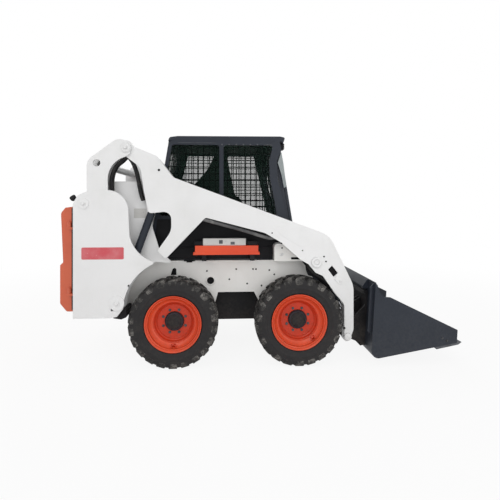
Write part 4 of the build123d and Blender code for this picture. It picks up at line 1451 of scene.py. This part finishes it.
@dataclass
class UprightTrim:
    """Labels, stops, bosses and pivot caps of the uprights.

    Args:
        outer: The y of the upright's outer face.
        inner: The y of its inner face.
        stop: Foot of the rubber stop on its back edge.
        cap: Middle of the lift arm's pivot cap.
        rubber: Profile of the stop.
    """

    outer: float = 742.0
    inner: float = 612.0
    stop: Point = (-1365, 0, 1440)
    cap: Spot = (-916, 1843)
    rubber: Profile = ((0, 0), (22, 0), (26, -8), (24, -30), (16, -40), (0, -42))

    def build(self, shop: Workshop) -> None:
        """Makes the trim of both uprights."""
        out, (x, z) = self.outer, self.cap
        label = oblong((-1270, 921), (-929, 1020), 12)
        sticker = oblong((-875, 1256), (-769, 1337), 4)
        bosses = (((-1254, out + 9.5, 1380), 30, 18), ((-985, out + 9.5, 562), 36, 18))
        cap = ((0, 6), (34, 6), (40, 0), (0, 0))
        parts = (
            Part("label", RED_LABEL, 0.3, [(label, out, out + 1.2)]),
            Part("sticker", GREY_LABEL, 0.3, [(sticker, self.inner, self.inner + 1)]),
            Part("boss_bolts", WHITE, 1, bolts=bosses),
            Part(
                "pivot_cap", WHITE, 1, turned=[(cap, (x, out, z), 40)],
                bolts=[((x, out + 5, z), 34, 16)],
            ),
        )
        both_sides(shop, "chassis", parts)
        for side, ending in SIDES:
            stop = Shape()
            stop.lathe(self.rubber, self.stop, 28)
            stop.turn(math.radians(90), self.stop, "X")
            stop.turn(math.radians(-38), self.stop, "Y")
            for vert in stop.mesh.verts:
                vert.co.y += side * 690
            shop.add(stop, "stop_" + ending, "chassis", SMOOTH_RUBBER, 1)


@dataclass
class ArmTrim:
    """Reinforcing plates, bosses, painted shade behind the pockets, guards and screws of the lift
    arms.

    Args:
        outer: The y of the arm's outer face.
        plate: Outline of the plate at the knee.
        lug: Outline of the lug on the arm's leg.
        pocket: Outline of the dark sheet behind the leg's window, painted shade.
        guard: Outline of the guard inside the leg.
        hanger: Outline of the plate that carries the coupler's hoses.
        dots: Place and radius of each screw.
    """

    outer: float = 712.0
    plate: Outline = (
        (294, 1179, 6), (464, 1191, 20), (503, 1172, 20), (607, 1103, 10), (640, 1040, 20),
        (560, 1006, 30), (430, 1076, 60),
    )
    lug: Outline = (
        (850, 764, 6), (905, 742, 14), (922, 712, 16), (905, 690, 16), (872, 690, 16),
        (836, 732, 10),
    )
    pocket: Outline = ((782, 816, 3), (814, 848, 3), (864, 785, 3), (827, 754, 3))
    guard: Outline = (
        (592, 884, 6), (640, 858, 10), (690, 806, 10), (742, 772, 10), (852, 626, 10),
        (848, 602, 6), (826, 632, 20), (779, 680, 20), (723, 718, 20), (661, 746, 20),
        (622, 756, 10), (604, 800, 10),
    )
    hanger: Outline = (
        (704, 832, 10), (784, 850, 10), (806, 780, 20), (852, 690, 20), (872, 622, 10),
        (842, 600, 10), (786, 642, 20), (730, 702, 20), (708, 768, 20),
    )
    dots: Outline = (
        (380, 1041, 6), (384, 1002, 6), (745, 927, 6), (762, 885, 6), (-648, 1659, 9),
        (921, 314, 9), (300, 1130, 5), (560, 980, 5),
    )

    def build(self, shop: Workshop) -> None:
        """Makes the trim of both arms."""
        out = self.outer
        boss = (
            (((24, 5), (45, 5), (45, 12), (40, 17), (30, 17), (24, 12)), (680, out, 878), 40),
            (((0, 12), (15, 12), (20, 8), (20, 4), (0, 4)), (680, out, 878), 32),
        )
        hinge = (((0, 16), (25, 16), (31, 12), (33, 0), (0, 0)), (950, out, 240), 36)
        dots = [
            (((0, 3.2), (wide, 3.2), (wide + 1, 0), (0, 0)), (x, out, z), 16)
            for x, z, wide in self.dots
        ]
        parts = (
            Part("arm_plate", WHITE, 1, [(self.plate, out, out + 2.5)]),
            Part(
                "arm_lug", WHITE, plates=[(self.lug, out, out + 8)],
                bolts=[((884, out + 8, 712), 18, 8)],
            ),
            Part("arm_boss", WHITE, 1, turned=boss),
            # dark sheet behind the leg's window: painted shade
            Part("arm_pocket", HOLLOW_SHADE_AND_BLACK, 0, [(self.pocket, out - 9, out - 7)]),
            Part("hinge_cap", WHITE, 0.8, turned=[hinge]),
            Part("arm_guard", BELLY, plates=[(self.guard, 632, 640)]),
            Part("hose_hanger", BELLY, plates=[(self.hanger, 478, 486)]),
            Part("arm_dots", HOLLOW_SHADE_AND_BLACK, 0, turned=dots),
        )
        both_sides(shop, "lift_arm", parts)


@dataclass
class ChassisTrim:
    """Screws, hollows painted as dark shade, and feet of the chassis sides, the arm rests and the
    arm support.

    Args:
        face: The y of the chassis side.
        rest_out: The y of the outer face of the rests and of the support's carrier.
        tie: Middle of the tie-down ring.
        dots: Middles of the screws.
        rest: Outline of an arm rest.
        hollow: Outline of the slot in it, drawn as a dark patch of painted shade.
        notch: Outline of the latch's notch, drawn as a dark plate of painted shade.
        foot: Outline of the foot behind the rear wheel.
    """

    face: float = 480.0
    rest_out: float = 599.0
    tie: Spot = (-228, 690)
    dots: Profile = (
        (-260, 776), (2, 791), (153, 790), (180, 789), (301, 779), (345, 740), (-60, 700),
        (100, 660), (-330, 640), (230, 640), (330, 560),
    )
    rest: Outline = ((332, 874, 6), (332, 1028, 34), (470, 1030, 24), (596, 874, 8))
    hollow: Outline = ((479, 889, 8), (572, 889, 8), (560, 909, 8), (479, 909, 8))
    notch: Outline = (
        (-580, 744, 3), (-563, 798, 5), (-547, 806, 8), (-532, 798, 5), (-530, 744, 3)
    )
    foot: Outline = (
        (-1040, 426, 8), (-985, 452, 8), (-938, 510, 8), (-918, 500, 6), (-916, 432, 12),
        (-960, 414, 12),
    )

    def sides(self) -> list[Part]:
        """The parts of the chassis side and the arm rest."""
        out, far = self.face, self.rest_out
        tie = (self.tie[0], out, self.tie[1])
        screw = ((0, 3), (6, 3), (8, 0), (0, 0))
        slots = (
            ((-463, out, 866), (-366, out + 14, 877)), ((-440, out, 855), (-390, out + 9, 866))
        )
        dots = [(screw, (x, out, z), 16) for x, z in self.dots]
        bolts = [((x, far, z), 17, 9) for x, z in ((388, 930), (404, 936))]
        hollow = ((0, -3), (33, -3), (33, -6), (0, -6))
        ring = ((32, -4), (40, -4), (44, 4), (40, 9), (34, 9), (32, 4))
        return [
            Part("chassis_dots", HOLLOW_SHADE_AND_BLACK, 0, turned=dots),
            Part(
                "rest", FRAME, 3, [(self.rest, out + 1, far)], replaces="arm_rests",
                slot="white_paint",
            ),
            # dark patch on the rest's face: painted shade of its slot
            Part("rest_slot", HOLLOW_SHADE_AND_BLACK, 0, [(self.hollow, far - 0.5, far + 1)]),
            Part("rest_bolts", WHITE, 0.8, bolts=bolts),
            # dark plates on the chassis side: painted shade of the notch and of two slots
            Part("chassis_notch", HOLLOW_SHADE_AND_BLACK, 1, [(self.notch, out, out + 5)], slots),
            Part("fender_foot", BELLY, 3, [(self.foot, 500, 700)]),
            # dark disc inside the tie-down hole: painted shade
            Part("tie_hollow", HOLLOW_SHADE_AND_BLACK, 0, turned=[(hollow, tie, 40)]),
            Part("tie_ring", FRAME, 1, turned=[(ring, tie, 40)]),
        ]

    def carrier(self) -> list[Part]:
        """The parts of the arm support and of its carrier beside the cab."""
        near, far, foot = 540, self.rest_out, self.face + 1
        tray = (
            (oblong((-358, 1014), (192, 1000)), near, far),
            (oblong((-358, 1003), (192, 950)), far - 9, far),
            (((-372, 958, 0), (202, 958, 0), (204, 934, 0), (-374, 934, 0)), near, far + 4),
        )
        legs = [((x, foot, 880), (x + 40, 592, 934)) for x in (-300, 120)]
        legs += [((x, near, 1013), (x + 90, 584, 1050)) for x in (-366, 96)]
        tabs = (((-150, 592, 1030), (-118, 593.5, 1062)), ((-50, 592, 1022), (-14, 593.5, 1046)))
        return [
            Part("carrier", WHEEL_ORANGE, 2.5, tray, replaces="arm_support"),
            Part("carrier_legs", BELLY, 3, boxes=legs),
            Part("support_box", GREY_LABEL, 5, boxes=[((-290, 550, 1013), (84, 592, 1076))]),
            Part("support_tabs", IRON, 1, boxes=tabs, slot="black_steel"),
        ]

    def build(self, shop: Workshop) -> None:
        """Makes the trim of both sides."""
        both_sides(shop, "chassis", self.sides() + self.carrier())


@dataclass
class CabTrim:
    """Lamps, rivets, strips, a painted highlight, covers, panes and lining of the cab.

    Args:
        face: The y of the cab's outer face.
        rivet: Middle of the rearmost rivet.
        pitch: Metres from one rivet to the next.
        seam: Outline of the strip over the lower cover.
        corner: Outline of the pale strip on the front post, a painted highlight of the door's glass
            and frame.
        cover: Outline of the lower cover.
        panes: Outlines of the two tinted side panes.
        gussets: Outlines of the left side's inner lining.
    """

    face: float = 475.0
    rivet: Spot = (-126, 1908)
    pitch: float = 0.064
    seam: Outline = ((-136, 1200, 10), (370, 1200, 10), (366, 1224, 10), (-136, 1224, 10))
    corner: Outline = (
        (410, 1850, 4), (428, 1751, 20), (457, 1532, 4), (434, 1520, 4), (412, 1637, 20),
        (378, 1750, 10), (388, 1776, 10),
    )
    cover: Outline = (
        (-740, 884, 8), (395, 884, 8), (382, 1080, 20), (366, 1240, 12), (-700, 1240, 12)
    )
    panes: tuple[Outline, ...] = (
        ((-575, 1908, 0), (-147, 1908, 0), (-147, 1266, 0), (-694, 1266, 0)),
        (
            (-115, 1908, 0), (338, 1908, 0), (304, 1764, 0), (314, 1592, 0), (334, 1502, 0),
            (373, 1266, 0), (-115, 1266, 0),
        ),
    )
    gussets: tuple[Outline, ...] = (
        (
            (-211, 1922, 4), (-289, 1763, 20), (-433, 1596, 20), (-620, 1400, 20),
            (-700, 1236, 4), (104, 1236, 4), (40, 1399, 30), (-10, 1552, 30), (-80, 1922, 4),
        ),
        (
            (216, 1922, 4), (290, 1610, 60), (359, 1317, 30), (376, 1236, 4), (396, 1236, 4),
            (352, 1502, 30), (328, 1600, 30), (322, 1764, 30), (352, 1922, 4),
        ),
        (
            (-504, 1922, 4), (-573, 1641, 30), (-680, 1236, 4), (-720, 1236, 4),
            (-640, 1641, 30), (-590, 1922, 4),
        ),
    )

    def parts(self) -> list[Part]:
        """The parts that both sides have."""
        out = self.face
        strips = (
            ((250, out, 1904), (330, out + 4, 1910)), ((-520, out, 1921), (-180, out + 2, 1924))
        )
        ledges = (
            ((-680, out, 984), (-340, out + 16, 992)), ((200, out, 984), (330, out + 16, 992)),
            ((-730, out, 886), (392, out + 8, 896)),
        )
        upright = ((-138, out, 1275), (-124, out + 3, 1900))
        lamp, lens = ((402, 352, 1872), (440, 438, 1930)), ((440, 358, 1877), (445, 432, 1925))
        return [
            Part("cab_strip", IRON, 1, boxes=strips),
            Part("lamp_case", BELLY, 5, boxes=[lamp], replaces="cab_lamps"),
            Part("lamp_lens", CLEAR_LENS, 2, boxes=[lens]),
            Part("cab_seam", DARK, plates=[(self.seam, out, out + 4)], boxes=[upright]),
            # pale strip that paints the highlight on the front post
            Part("corner_trim", PAINTED_HIGHLIGHT_TRIM, 0.6, [(self.corner, out, out + 2)]),
            Part("side_cover", BELLY, plates=[(self.cover, out, out + 3)], boxes=ledges),
            Part("side_panes", SIDE_TINT, 0, [(pane, 465, 468) for pane in self.panes]),
        ]

    def build(self, shop: Workshop, copies: Copies) -> None:
        """Makes the trim of the cab."""
        x, z = self.rivet
        for side, ending in SIDES:
            rivet = Shape(side)
            rivet.lathe([(0, 5), (5, 4), (8, 0), (0, 0)], (x, self.face, z), 14)
            rivets = copies.repeat(
                shop, rivet, "cab_rivets_" + ending, IRON, 0, Count=6,
                Step=(self.pitch, 0.0, 0.0), Centre=shop.place(x, side * self.face, z),
            )
            shop.finish(rivets, "cab", IRON)
        both_sides(shop, "cab", self.parts())
        liner = ((-540, -436, 1927), (372, 436, 1936))
        Part("headliner", LINING, 3, boxes=[liner]).build(shop, "cab")
        gussets = [(gusset, 436, 441) for gusset in self.gussets]
        Part("cab_gusset", LINING, plates=gussets).build(shop, "cab")


@dataclass
class Seat:
    """Vinyl seat: a crowned cushion and a backrest with sewn channels.

    Args:
        wide: Width of the seat.
        puff: How far a cushion may swell, in metres.
        grain: Size of its evened-out faces in metres.
        seam: Half width of a sewn channel in metres.
        depth: Its depth in metres.
        moments: Frames of cloth simulation.
    """

    wide: float = 470.0
    puff: float = 0.018
    grain: float = 0.012
    seam: float = 0.016
    depth: float = 0.007
    moments: int = 15

    def slab(self, name: str, corners: Outline) -> bpy.types.Object:
        """Draws a cushion's starting form."""
        shape = Shape()
        half = self.wide / 2
        shape.prism(rounded(corners), -half, half)
        return shape.thing(name)

    def swell(self, shop: Workshop, slab: bpy.types.Object) -> None:
        """Remeshes a slab and inflates it as cloth, then keeps the result.

        Args:
            shop: Where it is made.
            slab: The starting form in the model's frame.
        """
        remesh = slab.modifiers.new("even", "REMESH")
        remesh.mode = "VOXEL"
        remesh.voxel_size = self.grain
        shop.baked(slab, remesh)
        before = [vert.co.copy() for vert in slab.data.vertices]
        cloth = slab.modifiers.new("cloth", "CLOTH")
        cloth.settings.use_pressure = True
        cloth.settings.uniform_pressure_force = 4.0
        cloth.settings.effector_weights.gravity = 0.0
        cloth.settings.quality = 4
        scene = bpy.context.scene
        for moment in range(1, self.moments + 1):
            scene.frame_set(moment)
        shop.baked(slab, cloth)
        scene.frame_set(1)
        for vert, old in zip(slab.data.vertices, before):
            move = vert.co - old
            if move.length > self.puff:
                vert.co = old + move.normalized() * self.puff

    def channels(self, slab: bpy.types.Object, across: str, places: Sequence[float]) -> None:
        """Presses sewn channels into a cushion.

        Args:
            slab: The cushion.
            across: The axis along which the channels follow each other.
            places: The place of each channel on that axis, in metres.
        """
        axis = "XYZ".index(across)
        for vert in slab.data.vertices:
            normal = vert.normal
            for place in places:
                near = abs(vert.co[axis] - place) / self.seam
                if near < 1:
                    vert.co -= normal * self.depth * (1 - near * near)

    def build(self, shop: Workshop) -> None:
        """Makes the cushion and the backrest in place of the CAD seat."""
        base = self.slab(
            "seat_cushion",
            ((-440, 1094, 20), (0, 1094, 30), (4, 1160, 40), (-60, 1176, 40), (-400, 1160, 40)),
        )
        back = self.slab(
            "seat_back",
            ((-478, 1120, 30), (-350, 1180, 30), (-330, 1230, 30), (-402, 1600, 40),
             (-486, 1590, 40), (-486, 1300, 30)),
        )
        for piece, axis, places in (
            (base, "Y", (-0.13, 0.0, 0.13)),
            (back, "Z", (1.30, 1.40, 1.50)),
        ):
            shop.settle(piece)
            self.swell(shop, piece)
            self.channels(piece, axis, places)
            smooth = piece.modifiers.new("smooth", "SUBSURF")
            smooth.levels = smooth.render_levels = 1
            piece.data.shade_smooth()
            node = ["seat"] if piece is base else []
            shop.finish(piece, "cab", VINYL, node)


@dataclass
class BucketTrim:
    """Bolts of the bucket's cutting edge and sides.

    Args:
        first: Foot of the rightmost bolt of the edge.
        pitch: Metres from one bolt to the next.
        lean: Direction that the edge's bolts stand in.
        face: The y of the bucket's side.
    """

    first: Point = (1760, -660, 181)
    pitch: float = 0.22
    lean: Point = (-0.17, 0, 1)
    face: float = 787.0

    def build(self, shop: Workshop, copies: Copies) -> None:
        """Makes the trim of the bucket."""
        bolt = Shape()
        bolt.bolt(self.first, 26, 12, self.lean)
        bolts = copies.repeat(
            shop, bolt, "edge_bolts", WORN_STEEL, 0.8, Count=7, Step=(0.0, self.pitch, 0.0),
            Centre=shop.place(*self.first),
        )
        shop.finish(bolts, "coupler", WORN_STEEL)
        pair = [((x, self.face, z), 15, 8) for x, z in ((1784, 214), (1745, 236))]
        both_sides(shop, "coupler", [Part("side_bolts", IRON, 0.8, bolts=pair)])


@dataclass
class TailgateTrim:
    """Latch and side seals of the tailgate.

    Args:
        back: The x of the tailgate's outer face.
    """

    back: float = -1495.0

    def build(self, shop: Workshop) -> None:
        """Makes the trim of the tailgate."""
        latch = (
            ((self.back + 20, 500, 980), (self.back + 34, 560, 1060)),
            ((self.back + 12, 512, 1000), (self.back + 24, 548, 1040)),
        )
        seal = [((-1399, y * 598, 476), (-1389, y * 600.5, 1340)) for y in (RIGHT, LEFT)]
        Part("tailgate_latch", BELLY, 3, boxes=latch).build(shop, "tailgate")
        Part("tailgate_seal", SMOOTH_RUBBER, 0.8, boxes=seal).build(shop, "tailgate")


@dataclass
class RearEdge:
    """The uprights with their back edge chamfered towards the tailgate.

    Args:
        edge: Where the edge stands in the CAD.
        kept: Ahead of this nothing moves.
        move: How far the outermost sheet's edge goes forward.
        inner: Distance from the middle up to which nothing moves.
        outer: Distance from which all of it moves.
    """

    edge: float = -1385.0
    kept: float = -1300.0
    move: float = 47.0
    inner: float = 612.0
    outer: float = 732.0

    def build(self, shop: Workshop, nodes: dict[str, bpy.types.Object]) -> None:
        """Makes both uprights from merged copies of their CAD nodes.

        Args:
            shop: Where they are made.
            nodes: The CAD nodes by name.
        """
        for _, ending in SIDES:
            shape = bmesh.new()
            shape.from_mesh(nodes["upright_" + ending].data)
            bmesh.ops.remove_doubles(shape, verts=shape.verts, dist=0.00001)
            for vert in shape.verts:
                x = (vert.co.x - shop.middle) / MM
                share = (abs(vert.co.y) / MM - self.inner) / (self.outer - self.inner)
                back = max(0.0, (self.kept - x) / (self.kept - self.edge))
                vert.co.x += min(max(share, 0.0), 1.0) * back * self.move * MM
            piece = stand_mesh("upright_dressed_" + ending, shape)
            piece.data.shade_flat()
            shop.finish(piece, "chassis", WHITE, ["upright_" + ending])


@dataclass
class Stage:
    """Plain pale floor, white surroundings, soft lights and the camera.

    Args:
        eye: The camera's place in the model's frame.
        lean: The camera's turn about its view, upright and heading, in degrees.
        lens: Focal length in millimetres.
        shift: Upward shift of the picture.
    """

    eye: Point = (-0.3051, -4.211, 1.384)
    lean: Point = (90.0, 0.0, -3.4)
    lens: float = 29.9
    shift: float = -0.094

    def camera(self) -> None:
        """Makes the camera."""
        made = bpy.data.cameras.new("view")
        made.lens = self.lens
        made.sensor_width = 36.0
        made.shift_y = self.shift
        made.clip_end = 200.0
        seat = stand("view", made)
        seat.location = self.eye
        seat.rotation_euler = [math.radians(angle) for angle in self.lean]
        bpy.context.scene.camera = seat

    def lights(self) -> None:
        """Hangs two large soft lamps to the machine's right and one to its left."""
        lamps = (  # name, place, aim, size, strength
            ("key", (-3.0, -6.0, 6.0), (0.0, 0.0, 0.6), 6.0, 150.0),
            ("fill", (3.0, -6.0, 1.4), (0.0, 0.0, 0.7), 5.0, 92.0),
            ("rim", (0.0, 6.0, 5.0), (0.0, 0.0, 0.8), 6.0, 90.0),
        )
        for name, place, aim, size, strength in lamps:
            made = bpy.data.lights.new(name, "AREA")
            made.shape = "SQUARE"
            made.size = size
            made.energy = strength
            lamp = stand(name, made)
            lamp.location = place
            heading = Vector(aim) - Vector(place)
            lamp.rotation_euler = heading.to_track_quat("-Z", "Y").to_euler()

    def seen(self, graph: Graph) -> Signal:
        """Whether a ray comes from the camera, a mirror or through glass, from 0 to 1."""
        rays = graph.node("ShaderNodeLightPath", output="Is Camera Ray")
        shiny = graph.node("ShaderNodeLightPath", output="Is Glossy Ray")
        through = graph.node("ShaderNodeLightPath", output="Is Transmission Ray")
        return (rays + shiny + through).capped()

    def surroundings(self) -> None:
        """Makes the world: white where it is seen, softer where it lights."""
        world = bpy.data.worlds.new("surroundings")
        world.use_nodes = True
        bpy.context.scene.world = world
        graph = Graph(world.node_tree)
        strength = self.seen(graph) * 0.45 + 0.55
        sky = graph.node(
            "ShaderNodeBackground", None, {"Color": (1.0, 1.0, 1.0, 1.0), "Strength": strength}
        )
        graph.node("ShaderNodeOutputWorld", None, {"Surface": sky})

    def floor(self) -> None:
        """Lays the floor, which keeps a faint shadow and is otherwise white."""
        sheet = bmesh.new()
        bmesh.ops.create_grid(sheet, x_segments=2, y_segments=2, size=30.0)
        floor = stand_mesh("floor", sheet)
        graph = ShaderGraph("pale_floor")
        cloud = graph.noise(0.8, 3.0, 0.5)
        across, along = graph.axis("X"), graph.axis("Y")
        far = ((across * across + along * along) ** 0.5).step(2.2, 7.0)
        matt = graph.node(
            "ShaderNodeBsdfDiffuse", None,
            {"Color": graph.blend(cloud * 0.1, (0.9, 0.9, 0.9), (0.86, 0.86, 0.86))},
        )
        glow = graph.node(
            "ShaderNodeEmission", None, {"Color": (1.0, 1.0, 1.0, 1.0), "Strength": 1.0}
        )
        mixed = graph.node(
            "ShaderNodeMixShader", None, {0: self.seen(graph) * (far * 0.1 + 0.9), 1: matt, 2: glow}
        )
        graph.node("ShaderNodeOutputMaterial", None, {"Surface": mixed})
        floor.data.materials.append(graph.material)

    def build(self) -> None:
        """Makes the whole stage."""
        bpy.context.scene.view_settings.view_transform = "Standard"
        self.camera()
        self.lights()
        self.surroundings()
        self.floor()


def main() -> None:
    """Dresses the loader from its frame, piece by piece."""
    logging.basicConfig(level=logging.INFO, format="%(name)s: %(message)s")
    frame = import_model()
    axles = {}
    for corner in Corner:
        low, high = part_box("tyre_" + corner.value[0])
        axles[corner] = (low + high) / 2
    middle = (axles[Corner.REAR_RIGHT].x + axles[Corner.FRONT_RIGHT].x) / 2
    paint = PaintShop()
    paint.dress(frame)
    shop = Workshop(paint, middle)
    copies, run = Copies(), Run()
    for corner, spot in axles.items():
        axle = ((spot.x - middle) / MM, spot.y / MM, spot.z / MM)
        Tyre().build(shop, copies, corner, axle)
        WheelTrim().build(shop, copies, corner, axle)
    Hoses().build(shop, run)
    UprightTrim().build(shop)
    ArmTrim().build(shop)
    ChassisTrim().build(shop)
    CabTrim().build(shop, copies)
    Seat().build(shop)
    BucketTrim().build(shop, copies)
    TailgateTrim().build(shop)
    RearEdge().build(shop, frame["nodes"])
    Stage().build()
    log.info("%d pieces added", len(shop.made))


if __name__ == "__main__":
    main()
